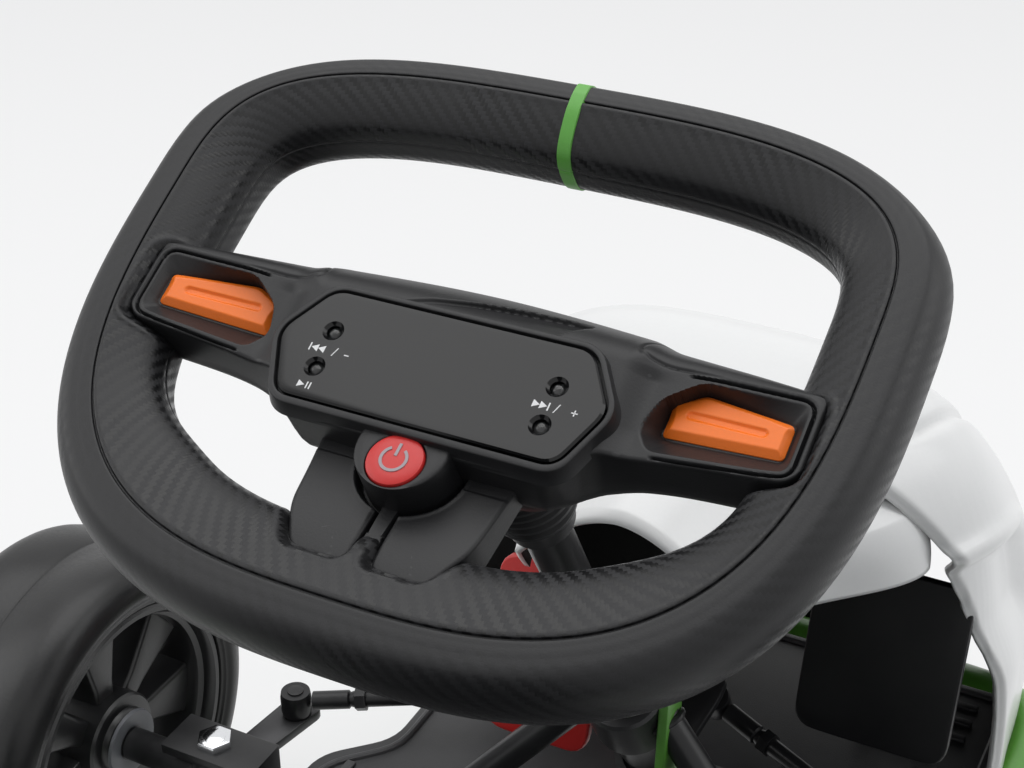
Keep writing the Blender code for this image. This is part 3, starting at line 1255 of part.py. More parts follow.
def battery():
    """Battery box on the rear cross tube, with its cells and lid."""
    middle_y = (BOX_FRONT_Y + BOX_REAR_Y) / 2
    length = BOX_REAR_Y - BOX_FRONT_Y
    box = block("box", (2 * BOX_HALF, length, BOX_HEIGHT), (0, middle_y, BOX_FLOOR_Z + BOX_HEIGHT / 2), 0.004)
    box = place("battery_box", box, BLACK_PLASTIC)
    for side, _ in SIDES:
        foot_low = RAIL_Z + TUBE_RADIUS - 0.001 + GAP
        foot = block(
            "foot", (0.030, 0.016, BOX_FLOOR_Z - foot_low + 0.004),
            (side * BOX_HALF / 2, RAIL_REAR_Y - TUBE_RADIUS, (BOX_FLOOR_Z + foot_low + 0.004) / 2),
        )
        boolean(box, "UNION", foot)
    room = (2 * (BOX_HALF - BOX_WALL), length - 2 * BOX_WALL, BOX_HEIGHT)
    boolean(box, "DIFFERENCE", block("room", room, (0, middle_y, BOX_FLOOR_Z + BOX_WALL + BOX_HEIGHT / 2)))
    cells = (room[0] - 0.004, room[1] - 0.004, CELL_HEIGHT)
    cell_z = BOX_FLOOR_Z + BOX_WALL + GAP + CELL_HEIGHT / 2
    place("battery_cells", block("cells", cells, (0, middle_y, cell_z), 0.002), DARK_DECK)
    lid_low = BOX_FLOOR_Z + BOX_HEIGHT + GAP
    lid = block("lid", (2 * BOX_HALF + 0.010, length + 0.010, LID_HEIGHT), (0, middle_y, lid_low + LID_HEIGHT / 2), 0.006)
    place("battery_lid", lid, DARK_DECK)


def console():
    """Switch console on the right hoop, with the forward and reverse rocker."""
    low = RAIL_Z + HOOP_RADIUS + GAP
    centre = (-CONSOLE_X, CONSOLE_Y, low + CONSOLE_HEIGHT / 2)
    case = block("console", (CONSOLE_WIDTH, CONSOLE_LENGTH, CONSOLE_HEIGHT), centre, 0.006)
    case = place("switch_console", case, BLACK_PLASTIC)
    rocker_z = low + CONSOLE_HEIGHT - SWITCH_THICKNESS * 0.2
    window = (SWITCH_WIDTH + 2 * RUN_GAP, SWITCH_LENGTH + 0.004, 0.024)
    boolean(case, "DIFFERENCE", block("window", window, (-CONSOLE_X, CONSOLE_Y, rocker_z)))
    pin_length = SWITCH_WIDTH + 2 * ROCKER_PIN_REACH
    pin_hole = rod("pin_hole", ROCKER_PIN_RADIUS + GAP, pin_length + 2 * GAP, (-CONSOLE_X, CONSOLE_Y, rocker_z), "X", 10)
    boolean(case, "DIFFERENCE", pin_hole)
    axis = empty("direction_rocker_axis", (-CONSOLE_X, CONSOLE_Y, rocker_z))
    rocker = rod("rocker", SWITCH_LENGTH / 2, SWITCH_WIDTH, (0, 0, 0), "X", 24)
    rocker = place("direction_rocker", rocker, RED_PLASTIC, axis)
    trim = (2 * SWITCH_LENGTH, 2 * SWITCH_LENGTH, SWITCH_LENGTH)
    for name, shift in (("top", SWITCH_LENGTH / 2 + ROCKER_RISE), ("under", -SWITCH_LENGTH / 2 - ROCKER_DROP)):
        boolean(rocker, "DIFFERENCE", block(name, trim, (0, 0, shift)))
    boolean(rocker, "UNION", rod("pin", ROCKER_PIN_RADIUS, pin_length, (0, 0, 0), "X", 10))


def rear_parts():
    length = 2 * (TYRE_OUTER_X - RIM_LIP - RIM_DISH + NUT_LENGTH * 0.5)
    axle = rod("axle", REAR_AXLE_RADIUS, length, (0, REAR_AXLE_Y, REAR_TYRE_RADIUS), "X", 16)
    place("rear_axle", axle, BRIGHT_STEEL)
    start = RAIL_REAR_Y + GAP
    half = [
        (RAIL_REAR_X, start, RAIL_Z),
        (RAIL_REAR_X, REAR_BUMPER_Y, RAIL_Z),
        (RAIL_REAR_X, REAR_BUMPER_Y, REAR_BUMPER_Z),
    ]
    route = rounded(half + [(-x, y, z) for x, y, z in reversed(half)], BEND_RADIUS * 0.8)
    place("rear_bumper", tube("rear_bumper", route, REAR_BUMPER_RADIUS), BLACK_PLASTIC)


def main():
    frame_tubes()
    for side, label in SIDES:
        front_corner(side, label)
        wheel(f"rear_wheel_{label}", side, REAR_AXLE_Y, REAR_TYRE_RADIUS, REAR_TYRE_WIDTH, REAR_AXLE_RADIUS)
        drive_side(side, label)
    steering_frame = empty("steering_axis", (0, STEER_Y, STEER_Z), (STEER_TILT, 0, math.pi))
    steering_wheel(steering_frame)
    pedal("brake_pedal", BRAKE_X, BRAKE_WIDTH, BRAKE_PAD_Y, BRAKE_PIVOT_Y, BRAKE_TOP, BRAKE_LOW, RED_PLASTIC)
    pedal("drive_pedal", DRIVE_X, DRIVE_WIDTH, DRIVE_PAD_Y, DRIVE_PIVOT_Y, DRIVE_TOP, DRIVE_LOW, BLACK_PLASTIC)
    deck()
    cowl()
    seat()
    battery()
    console()
    rear_parts()


main()
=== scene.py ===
"""Dresses the kids electric drift go-kart: shapes, finishes, floor, light and camera, in metres."""

import json
import math

import bmesh
import bpy
from mathutils import Matrix, Vector


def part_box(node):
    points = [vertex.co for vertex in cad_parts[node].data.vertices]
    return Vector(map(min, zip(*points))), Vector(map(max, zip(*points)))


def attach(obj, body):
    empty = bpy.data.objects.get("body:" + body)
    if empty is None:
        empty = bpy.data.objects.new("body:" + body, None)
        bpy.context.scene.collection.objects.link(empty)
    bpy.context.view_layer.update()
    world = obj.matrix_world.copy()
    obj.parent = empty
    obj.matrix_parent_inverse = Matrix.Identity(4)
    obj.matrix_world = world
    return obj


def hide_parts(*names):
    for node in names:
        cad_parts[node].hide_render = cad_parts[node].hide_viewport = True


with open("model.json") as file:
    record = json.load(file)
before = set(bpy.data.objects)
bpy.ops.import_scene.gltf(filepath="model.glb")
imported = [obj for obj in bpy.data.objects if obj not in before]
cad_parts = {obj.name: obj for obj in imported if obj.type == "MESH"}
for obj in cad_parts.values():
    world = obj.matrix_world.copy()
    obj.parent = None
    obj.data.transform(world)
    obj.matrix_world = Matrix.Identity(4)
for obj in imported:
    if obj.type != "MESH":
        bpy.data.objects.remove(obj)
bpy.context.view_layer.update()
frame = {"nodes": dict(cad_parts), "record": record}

MM = 0.001
SIDES = ((1, "left"), (-1, "right"))

# The steering wheel's own frame: x to the driver's right, y up in its plane, z towards the driver
WHEEL_TILT = math.radians(30.4)
WHEEL_CENTRE = Vector((0, -0.120, 0.480))
WHEEL = Matrix.Translation(WHEEL_CENTRE) @ Matrix((
    (-1, 0, 0, 0),
    (0, -math.cos(WHEEL_TILT), math.sin(WHEEL_TILT), 0),
    (0, math.sin(WHEEL_TILT), math.cos(WHEEL_TILT), 0),
    (0, 0, 0, 1),
))


# Shaders

def group(name, inputs, outputs):
    """An empty shader node group with named sockets; returns its tree, input and output nodes."""
    tree = bpy.data.node_groups.new(name, "ShaderNodeTree")
    for label, kind in inputs:
        tree.interface.new_socket(label, in_out="INPUT", socket_type=kind)
    for label, kind in outputs:
        tree.interface.new_socket(label, in_out="OUTPUT", socket_type=kind)
    return tree, tree.nodes.new("NodeGroupInput"), tree.nodes.new("NodeGroupOutput")


def feed(tree, socket, value):
    if isinstance(value, bpy.types.NodeSocket):
        tree.links.new(value, socket)
    else:
        socket.default_value = value


def calc(tree, operation, *values, clamp=False):
    """The output of a Math node on numbers or sockets."""
    node = tree.nodes.new("ShaderNodeMath")
    node.operation = operation
    node.use_clamp = clamp
    for socket, value in zip(node.inputs, values):
        feed(tree, socket, value)
    return node.outputs[0]


def blend_colour(tree, share, first, second):
    node = tree.nodes.new("ShaderNodeMix")
    node.data_type = "RGBA"
    feed(tree, node.inputs["Factor"], share)
    feed(tree, node.inputs[6], first)
    feed(tree, node.inputs[7], second)
    return node.outputs[2]


def clouds(tree, vector, scale, detail=3.0, roughness=0.5):
    node = tree.nodes.new("ShaderNodeTexNoise")
    feed(tree, node.inputs["Vector"], vector)
    feed(tree, node.inputs["Scale"], scale)
    node.inputs["Detail"].default_value = detail
    node.inputs["Roughness"].default_value = roughness
    return node.outputs["Fac"]


def spread(tree, value, low, high, to_low=0.0, to_high=1.0):
    node = tree.nodes.new("ShaderNodeMapRange")
    for socket, number in zip(node.inputs, (value, low, high, to_low, to_high)):
        feed(tree, socket, number)
    return node.outputs[0]


def make_surface_group():
    """Mottled colour, edges lightened by wear and a painted highlight, uneven gloss and a fine grain, shared by most
    finishes.
    """
    tree, source, sink = group(
        "moulded_surface",
        [
            ("Vector", "NodeSocketVector"), ("Colour", "NodeSocketColor"), ("Mottle", "NodeSocketFloat"),
            ("Edge Wear And Highlight", "NodeSocketFloat"), ("Gloss", "NodeSocketFloat"), ("Uneven", "NodeSocketFloat"),
            ("Grain Scale", "NodeSocketFloat"), ("Blotch Scale", "NodeSocketFloat"),
        ],
        [("Colour", "NodeSocketColor"), ("Roughness", "NodeSocketFloat"), ("Height", "NodeSocketFloat")],
    )
    take = source.outputs
    blotch = clouds(tree, take["Vector"], take["Blotch Scale"], 4.0, 0.6)
    grain = clouds(tree, take["Vector"], take["Grain Scale"], 2.0, 0.6)
    shape = tree.nodes.new("ShaderNodeNewGeometry")
    # Convex edges are blended towards grey: partly wear, partly a painted highlight along the edges
    edge = spread(tree, shape.outputs["Pointiness"], 0.51, 0.60)
    edge = calc(tree, "MULTIPLY", edge, spread(tree, blotch, 0.35, 0.65))
    edge = calc(tree, "MULTIPLY", edge, take["Edge Wear And Highlight"])
    shade = calc(tree, "MULTIPLY_ADD", calc(tree, "SUBTRACT", blotch, 0.5), take["Mottle"], 1.0)
    shade = calc(tree, "MULTIPLY_ADD", calc(tree, "SUBTRACT", grain, 0.5), take["Mottle"], shade)
    dull = tree.nodes.new("ShaderNodeVectorMath")
    dull.operation = "SCALE"
    feed(tree, dull.inputs[0], take["Colour"])
    feed(tree, dull.inputs["Scale"], shade)
    worn_and_highlit = blend_colour(tree, edge, dull.outputs[0], (0.55, 0.55, 0.55, 1.0))
    tree.links.new(worn_and_highlit, sink.inputs["Colour"])
    gloss = calc(tree, "MULTIPLY_ADD", calc(tree, "SUBTRACT", blotch, 0.5), take["Uneven"], take["Gloss"])
    gloss = calc(tree, "MULTIPLY_ADD", calc(tree, "SUBTRACT", grain, 0.5), take["Uneven"], gloss, clamp=True)
    tree.links.new(gloss, sink.inputs["Roughness"])
    tree.links.new(grain, sink.inputs["Height"])
    return tree


def make_twill_group():
    """A 2 by 2 twill: which thread lies on top, and how high it stands."""
    tree, source, sink = group(
        "twill_weave",
        [("Vector", "NodeSocketVector"), ("Pitch", "NodeSocketFloat")],
        [("Over", "NodeSocketFloat"), ("Height", "NodeSocketFloat")],
    )
    split = tree.nodes.new("ShaderNodeSeparateXYZ")
    tree.links.new(source.outputs["Vector"], split.inputs[0])
    across = calc(tree, "DIVIDE", split.outputs[0], source.outputs["Pitch"])
    along = calc(tree, "DIVIDE", split.outputs[1], source.outputs["Pitch"])
    part_across = calc(tree, "FRACT", across)
    part_along = calc(tree, "FRACT", along)
    cell = calc(tree, "ADD", calc(tree, "FLOOR", across), calc(tree, "FLOOR", along))
    cell = calc(tree, "FLOORED_MODULO", cell, 4.0)
    over = calc(tree, "LESS_THAN", cell, 1.5)

    def crown(value, power):
        centred = calc(tree, "ABSOLUTE", calc(tree, "MULTIPLY_ADD", value, 2.0, -1.0))
        return calc(tree, "SUBTRACT", 1.0, calc(tree, "POWER", centred, power))

    warp_run = calc(tree, "MULTIPLY", calc(tree, "ADD", cell, part_along), 0.5)
    weft_run = calc(tree, "MULTIPLY", calc(tree, "ADD", calc(tree, "SUBTRACT", cell, 2.0), part_across), 0.5)
    warp = calc(tree, "MULTIPLY", crown(part_across, 2.0), crown(warp_run, 4.0))
    weft = calc(tree, "MULTIPLY", crown(part_along, 2.0), crown(weft_run, 4.0))
    height = calc(tree, "ADD", calc(tree, "MULTIPLY", over, warp),
                  calc(tree, "MULTIPLY", calc(tree, "SUBTRACT", 1.0, over), weft))
    tree.links.new(over, sink.inputs["Over"])
    tree.links.new(height, sink.inputs["Height"])
    return tree


SURFACE = make_surface_group()
TWILL = make_twill_group()


def new_material(name):
    made = bpy.data.materials.new(name)
    made.use_nodes = True
    shader = made.node_tree.nodes["Principled BSDF"]
    return made, made.node_tree, shader


def surface_detail(tree, place, colour, gloss, uneven, mottle, edge_wear_and_highlight, grain, blotch):
    """The shared surface group with these settings, in object coordinates."""
    detail = tree.nodes.new("ShaderNodeGroup")
    detail.node_tree = SURFACE
    tree.links.new(place.outputs["Object"], detail.inputs["Vector"])
    for label, value in (
        ("Colour", (*colour, 1.0)), ("Mottle", mottle), ("Edge Wear And Highlight", edge_wear_and_highlight), ("Gloss", gloss), ("Uneven", uneven),
        ("Grain Scale", grain), ("Blotch Scale", blotch),
    ):
        detail.inputs[label].default_value = value
    return detail.outputs


def relief(tree, shader, height, depth):
    """Bump of this depth from a height socket."""
    bump = tree.nodes.new("ShaderNodeBump")
    bump.inputs["Strength"].default_value = 1.0
    bump.inputs["Distance"].default_value = depth
    tree.links.new(height, bump.inputs["Height"])
    tree.links.new(bump.outputs["Normal"], shader.inputs["Normal"])


def finish(name, colour, gloss, uneven=0.10, mottle=0.25, edge_wear_and_highlight=0.10, grain=900.0, depth=0.00003, blotch=16.0,
           metallic=0.0, coat=0.0, coat_gloss=0.1, specular=0.5):
    """A material whose colour, gloss and relief come from the shared surface group."""
    made, tree, shader = new_material(name)
    place = tree.nodes.new("ShaderNodeTexCoord")
    detail = surface_detail(tree, place, colour, gloss, uneven, mottle, edge_wear_and_highlight, grain, blotch)
    relief(tree, shader, detail["Height"], depth)
    tree.links.new(detail["Colour"], shader.inputs["Base Color"])
    tree.links.new(detail["Roughness"], shader.inputs["Roughness"])
    shader.inputs["Metallic"].default_value = metallic
    shader.inputs["Coat Weight"].default_value = coat
    shader.inputs["Coat Roughness"].default_value = coat_gloss
    shader.inputs["Specular IOR Level"].default_value = specular
    return made


WEAVE_PITCH = 1.55 * MM
WEAVE_DEPTH = 0.028 * MM


def make_grip_finish():
    """Satin black with the carbon-look twill pressed into it, and a painted sheen that lightens the threads on top.
    """
    made, tree, shader = new_material("carbon_grip")
    place = tree.nodes.new("ShaderNodeTexCoord")
    weave = tree.nodes.new("ShaderNodeGroup")
    weave.node_tree = TWILL
    weave.inputs["Pitch"].default_value = WEAVE_PITCH
    tree.links.new(place.outputs["UV"], weave.inputs["Vector"])
    detail = surface_detail(tree, place, (0.014, 0.014, 0.015), 0.42, uneven=0.12, mottle=0.3, edge_wear_and_highlight=0.02,
                            grain=1500.0, blotch=12.0)
    # The weave shows in patches, and hardly at all on the outer band
    split = tree.nodes.new("ShaderNodeSeparateXYZ")
    tree.links.new(place.outputs["UV"], split.inputs[0])
    drift = clouds(tree, place.outputs["Object"], 38.0, 3.0, 0.6)
    show = spread(tree, drift, 0.36, 0.62, 0.25, 1.0)
    band = spread(tree, split.outputs[0], 0.026, 0.034, 0.35, 1.0)
    show = calc(tree, "MULTIPLY", show, band)
    lift = calc(tree, "SUBTRACT", weave.outputs["Over"], 0.5)
    rough = calc(tree, "ADD", detail["Roughness"],
                 calc(tree, "MULTIPLY", calc(tree, "MULTIPLY", lift, 0.26), show), clamp=True)
    # Painted sheen: threads on top are lighter in colour and threads beneath darker, where the weave shows
    shade = calc(tree, "MULTIPLY_ADD", lift, show, 1.0)
    painted_sheen_tint = tree.nodes.new("ShaderNodeVectorMath")
    painted_sheen_tint.operation = "SCALE"
    tree.links.new(detail["Colour"], painted_sheen_tint.inputs[0])
    tree.links.new(shade, painted_sheen_tint.inputs["Scale"])
    height = calc(tree, "MULTIPLY", weave.outputs["Height"], show)
    relief(tree, shader, calc(tree, "MULTIPLY_ADD", detail["Height"], 1.2, height), WEAVE_DEPTH)
    tree.links.new(painted_sheen_tint.outputs[0], shader.inputs["Base Color"])
    tree.links.new(rough, shader.inputs["Roughness"])
    shader.inputs["Specular IOR Level"].default_value = 0.30
    return made


def make_clear_finish():
    made, tree, shader = new_material("clear_plunger")
    place = tree.nodes.new("ShaderNodeTexCoord")
    haze = clouds(tree, place.outputs["Object"], 260.0)
    tree.links.new(spread(tree, haze, 0.3, 0.7, 0.02, 0.12), shader.inputs["Roughness"])
    relief(tree, shader, haze, 0.02 * MM)
    shader.inputs["Base Color"].default_value = (0.86, 0.88, 0.90, 1.0)
    shader.inputs["Transmission Weight"].default_value = 1.0
    shader.inputs["IOR"].default_value = 1.49
    return made


GRIP = make_grip_finish()
CLEAR = make_clear_finish()
BLACK = finish("moulded_black", (0.014, 0.014, 0.015), 0.42, edge_wear_and_highlight=0.05, grain=1100.0, depth=0.00005,
               specular=0.30)
SATIN_BLACK = finish("satin_black", (0.012, 0.012, 0.013), 0.34, edge_wear_and_highlight=0.04, depth=0.00002, specular=0.30)
# Near-black matte finish used as painted shade inside hollows: the body's undersides, its column arch and the keys'
# holes
SHADE_BLACK = finish("painted_shade_black", (0.004, 0.004, 0.004), 0.85, edge_wear_and_highlight=0.0)
GLASS_BLACK = finish("display_window", (0.006, 0.006, 0.0065), 0.13, uneven=0.03, edge_wear_and_highlight=0.0, depth=0.000002,
                     specular=0.30)
ORANGE = finish("horn_orange", (0.96, 0.190, 0.010), 0.42, mottle=0.10, edge_wear_and_highlight=0.02, depth=0.00002)
RED = finish("signal_red", (0.60, 0.020, 0.018), 0.40, mottle=0.12, edge_wear_and_highlight=0.02, depth=0.00003)
PRINT_WHITE = finish("print_white", (0.80, 0.80, 0.80), 0.55, mottle=0.06, edge_wear_and_highlight=0.0, depth=0.00001)
PRINT_GREY = finish("print_grey", (0.36, 0.32, 0.34), 0.50, mottle=0.06, edge_wear_and_highlight=0.0, depth=0.00001)
GREEN = finish("frame_green", (0.095, 0.30, 0.035), 0.34, mottle=0.14, edge_wear_and_highlight=0.06, grain=420.0, depth=0.00006,
               coat=0.3, coat_gloss=0.15)
BAND_GREEN = finish("band_green", (0.115, 0.39, 0.055), 0.40, mottle=0.10, edge_wear_and_highlight=0.03, depth=0.00002)
WHITE = finish("body_white", (0.83, 0.83, 0.82), 0.30, uneven=0.06, mottle=0.04, edge_wear_and_highlight=0.0, grain=600.0,
               depth=0.00002, coat=0.2, coat_gloss=0.12)
TYRE = finish("tyre_black", (0.012, 0.012, 0.0125), 0.36, uneven=0.22, mottle=0.4, edge_wear_and_highlight=0.06, grain=520.0,
              depth=0.00007, blotch=28.0, specular=0.35)
HUB = finish("wheel_plastic", (0.014, 0.014, 0.015), 0.32, uneven=0.14, edge_wear_and_highlight=0.06, grain=800.0, depth=0.00004)
DECK = finish("deck_plastic", (0.034, 0.034, 0.036), 0.50, mottle=0.30, edge_wear_and_highlight=0.10, grain=1300.0, depth=0.00010)
SEAT = finish("seat_shell_black", (0.017, 0.017, 0.018), 0.42, mottle=0.3, edge_wear_and_highlight=0.08, grain=1000.0, depth=0.00010)
STEEL = finish("plated_steel", (0.56, 0.57, 0.58), 0.30, uneven=0.16, mottle=0.16, edge_wear_and_highlight=0.05, grain=380.0,
               depth=0.00002, metallic=1.0)
CHROME = finish("bright_bolt", (0.72, 0.73, 0.75), 0.12, uneven=0.08, mottle=0.08, edge_wear_and_highlight=0.0, metallic=1.0)
GREY_NUT = finish("nut_grey", (0.14, 0.145, 0.16), 0.45, mottle=0.25, edge_wear_and_highlight=0.08)
STEEL_DARK = finish("blackened_steel", (0.030, 0.030, 0.032), 0.38, mottle=0.3, edge_wear_and_highlight=0.14, metallic=0.6)
CAST = finish("motor_can", (0.30, 0.31, 0.32), 0.36, uneven=0.18, mottle=0.2, edge_wear_and_highlight=0.08, grain=500.0,
              depth=0.00004, metallic=1.0)
BOARD = finish("board_green", (0.02, 0.12, 0.05), 0.42, mottle=0.3, edge_wear_and_highlight=0.05, grain=300.0, depth=0.00004)
CELLS = finish("cell_wrap", (0.035, 0.045, 0.075), 0.35, mottle=0.2, edge_wear_and_highlight=0.06)


# Shapes

def lerp(low, high, share):
    return low + (high - low) * share


def smooth(value, low, high):
    """0 below low, 1 above high, eased between them."""
    share = min(1.0, max(0.0, (value - low) / (high - low)))
    return share * share * (3 - 2 * share)


def table(points, value):
    """A smooth curve without overshoot through (place, amount) pairs."""
    if value <= points[0][0]:
        return points[0][1]
    if value >= points[-1][0]:
        return points[-1][1]
    rises = [(y1 - y0) / (x1 - x0) for (x0, y0), (x1, y1) in zip(points, points[1:])]
    slopes = [0.0]
    for before, after in zip(rises, rises[1:]):
        slopes.append(2 * before * after / (before + after) if before * after > 0 else 0.0)
    slopes.append(rises[-1])
    index = max(i for i, (x, _) in enumerate(points[:-1]) if x <= value)
    (x0, y0), (x1, y1) = points[index], points[index + 1]
    width = x1 - x0
    t = (value - x0) / width
    return ((2 * t ** 3 - 3 * t ** 2 + 1) * y0 + (t ** 3 - 2 * t ** 2 + t) * width * slopes[index]
            + (3 * t ** 2 - 2 * t ** 3) * y1 + (t ** 3 - t ** 2) * width * slopes[index + 1])


def curve_between(a, b, c, d, t):
    """The place at share t between b and c on a smooth curve through a, b, c and d."""
    return 0.5 * (2 * b + (c - a) * t + (2 * a - 5 * b + 4 * c - d) * t ** 2 + (3 * b - a - 3 * c + d) * t ** 3)


def through(points, steps=8, closed=False):
    """A smooth curve through the points, with this many steps between two of them."""
    points = [Vector(point) for point in points]
    count = len(points)
    route = []
    for index in range(count if closed else count - 1):
        if closed:
            a, b, c, d = (points[(index + shift) % count] for shift in (-1, 0, 1, 2))
        else:
            b, c = points[index], points[index + 1]
            a = points[index - 1] if index else b * 2 - c
            d = points[index + 2] if index + 2 < count else c * 2 - b
        route += [curve_between(a, b, c, d, step / steps) for step in range(steps)]
    return route if closed else route + [points[-1]]


def soften(points, bend, steps=6, closed=True):
    """The polygon or path with each corner rounded to this bend."""
    points = [Vector(point) for point in points]
    made = []
    for index, here in enumerate(points):
        if not closed and index in (0, len(points) - 1):
            made.append(here)
            continue
        before, after = points[index - 1] - here, points[(index + 1) % len(points)] - here
        reach = min(bend, before.length * 0.48, after.length * 0.48)
        start, end = here + before.normalized() * reach, here + after.normalized() * reach
        for step in range(steps + 1):
            t = step / steps
            made.append(start * (1 - t) ** 2 + here * 2 * t * (1 - t) + end * t ** 2)
    return made


def both(half):
    """A closed outline from its +x half, listed from top to bottom."""
    return list(half) + [(-x, y) for x, y in reversed(half)]


def circle(radius, centre=(0, 0), steps=72):
    return [(centre[0] + radius * math.cos(2 * math.pi * k / steps),
             centre[1] + radius * math.sin(2 * math.pi * k / steps)) for k in range(steps)]


def skin(bm, point, rows, columns, chart=None):
    """A sheet over a grid: point(along, across) places it, both from 0 to 1, and chart gives its UVs."""
    made = bmesh.ops.create_grid(bm, x_segments=columns, y_segments=rows, size=1.0)["verts"]
    charts = bm.loops.layers.uv.verify() if chart else None
    shares = {vert: ((vert.co.y + 1) / 2, (vert.co.x + 1) / 2) for vert in made}
    if chart:
        for face in {face for vert in made for face in vert.link_faces}:
            for loop in face.loops:
                loop[charts].uv = chart(*shares[loop.vert])
    for vert, share in shares.items():
        vert.co = point(*share)
    return made


def frames_along(route, closed=False):
    """(place, across, up) at each point of a route, turned as little as possible."""
    count = len(route)
    tangents = []
    for index in range(count):
        before = route[index - 1] if closed or index else route[index]
        after = route[(index + 1) % count] if closed or index < count - 1 else route[index]
        tangents.append((after - before).normalized())
    up = Vector((0, 0, 1)) if abs(tangents[0].z) < 0.9 else Vector((1, 0, 0))
    made = []
    for place, along in zip(route, tangents):
        up = (up - along * up.dot(along)).normalized()
        made.append((place, along.cross(up), up))
    return made


def pipe(bm, route, radius, sides=24, closed=False):
    """A round tube along a route, with its ends filled if it is open."""
    route = [Vector(point) for point in route]
    stations = frames_along(route, closed)
    if closed:
        stations.append(stations[0])
    last = len(stations) - 1

    def point(along, around):
        place, across, up = stations[round(along * last)]
        angle = 2 * math.pi * around
        return place + across * (radius * math.cos(angle)) + up * (radius * math.sin(angle))

    made = skin(bm, point, last, sides, lambda along, around: (along * last * 0.01, around * 0.1))
    bmesh.ops.remove_doubles(bm, verts=made, dist=1e-6)
    if not closed:
        kept = {vert for vert in made if vert.is_valid}
        rims = [edge for edge in bm.edges if edge.is_boundary and edge.verts[0] in kept]
        if rims:
            bmesh.ops.holes_fill(bm, edges=rims, sides=0)


def turn(bm, profile, steps=48, place=None):
    """Spins a profile of (radius, height) round the z axis, then puts it in place."""
    verts = [bm.verts.new((radius, 0, height)) for radius, height in profile]
    edges = [bm.edges.new(pair) for pair in zip(verts, verts[1:])]
    before = set(bm.verts)
    bmesh.ops.spin(bm, geom=verts + edges, axis=(0, 0, 1), cent=(0, 0, 0), angle=2 * math.pi, steps=steps,
                   use_merge=True)
    made = verts + [vert for vert in bm.verts if vert not in before]
    bmesh.ops.remove_doubles(bm, verts=made, dist=1e-6)
    made = [vert for vert in made if vert.is_valid]
    if place is not None:
        bmesh.ops.transform(bm, matrix=place, verts=made)


def plate(bm, outline, low, high, bevel=0.0, segments=2, place=None, both_sides=False):
    """A flat piece with this outline between two heights, its edges bevelled."""
    verts = [bm.verts.new((point[0], point[1], low)) for point in outline]
    face = bm.faces.new(verts)
    raised = bmesh.ops.extrude_face_region(bm, geom=[face])["geom"]
    top = [item for item in raised if isinstance(item, bmesh.types.BMVert)]
    bmesh.ops.translate(bm, vec=(0, 0, high - low), verts=top)
    made = verts + top
    if bevel:
        rims = {edge for vert in top for edge in vert.link_edges if edge.other_vert(vert) in top}
        if both_sides:
            rims |= {edge for vert in verts for edge in vert.link_edges if edge.other_vert(vert) in verts}
        done = bmesh.ops.bevel(bm, geom=list(rims), offset=bevel, segments=segments, profile=0.5,
                               affect="EDGES", material=-1)
        made = [vert for vert in made if vert.is_valid] + done["verts"]
    made = list(set(made))
    if place is not None:
        bmesh.ops.transform(bm, matrix=place, verts=made)


def brick(bm, size, centre, bevel=0.002, segments=3, place=None):
    """A block with rounded edges."""
    made = bmesh.ops.create_cube(bm, size=1.0)["verts"]
    bmesh.ops.scale(bm, vec=size, verts=made)
    edges = list({edge for vert in made for edge in vert.link_edges})
    made = bmesh.ops.bevel(bm, geom=edges, offset=bevel, segments=segments, profile=0.5, affect="EDGES",
                           material=-1)["verts"]
    bmesh.ops.translate(bm, vec=centre, verts=made)
    if place is not None:
        bmesh.ops.transform(bm, matrix=place, verts=made)


def bolt(bm, radius, height, place, sides=6, dome=False):
    """A hexagonal or round head with a chamfered crown, standing on the place's xy plane."""
    plate(bm, circle(radius, steps=sides), 0.0, height, radius * 0.12, 2, place)
    if dome:
        turn(bm, [(0, height * 1.25), (radius * 0.35, height * 1.2), (radius * 0.6, height * 1.02),
                  (radius * 0.62, height * 0.9)], 20, place)


def towards(place, direction):
    """A matrix that carries z onto this direction and the origin to this place."""
    turned = Vector((0, 0, 1)).rotation_difference(Vector(direction)).to_matrix().to_4x4()
    return Matrix.Translation(Vector(place)) @ turned


def side_on(x=0, y=0, z=0):
    """A matrix that stands an outline's axes along y and z, with its thickness along x."""
    return Matrix(((0, 0, 1, x), (1, 0, 0, y), (0, 1, 0, z), (0, 0, 0, 1)))


def add_object(name, data):
    obj = bpy.data.objects.new(name, data)
    bpy.context.scene.collection.objects.link(obj)
    return obj


def mesh_from(name, bm):
    mesh = bpy.data.meshes.new(name)
    bm.to_mesh(mesh)
    bm.free()
    return mesh


def set_shading(mesh, angle, rounded=True):
    """Smooth shading that keeps edges sharper than this angle crisp."""
    if rounded:
        for polygon in mesh.polygons:
            polygon.use_smooth = True
    mesh.set_sharp_from_angle(angle=math.radians(angle))


def piece(name, bm, finishes, body, stands_for=(), place=None, angle=32, recalc=True):
    """Closes a mesh into a named piece that rides on a body and stands for some CAD nodes."""
    if place is not None:
        bmesh.ops.transform(bm, matrix=place, verts=bm.verts)
    bmesh.ops.remove_doubles(bm, verts=bm.verts, dist=1e-6)
    if recalc:
        bmesh.ops.recalc_face_normals(bm, faces=bm.faces)
    mesh = mesh_from(name, bm)
    set_shading(mesh, angle)
    obj = add_object(name, mesh)
    for entry in finishes if isinstance(finishes, (list, tuple)) else [finishes]:
        mesh.materials.append(entry)
    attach(obj, body)
    if stands_for:
        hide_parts(*([stands_for] if isinstance(stands_for, str) else stands_for))
    return obj


def body_of_node(node):
    return next(body for body, nodes in frame["record"]["behaviour"]["bodies"].items() if node in nodes)


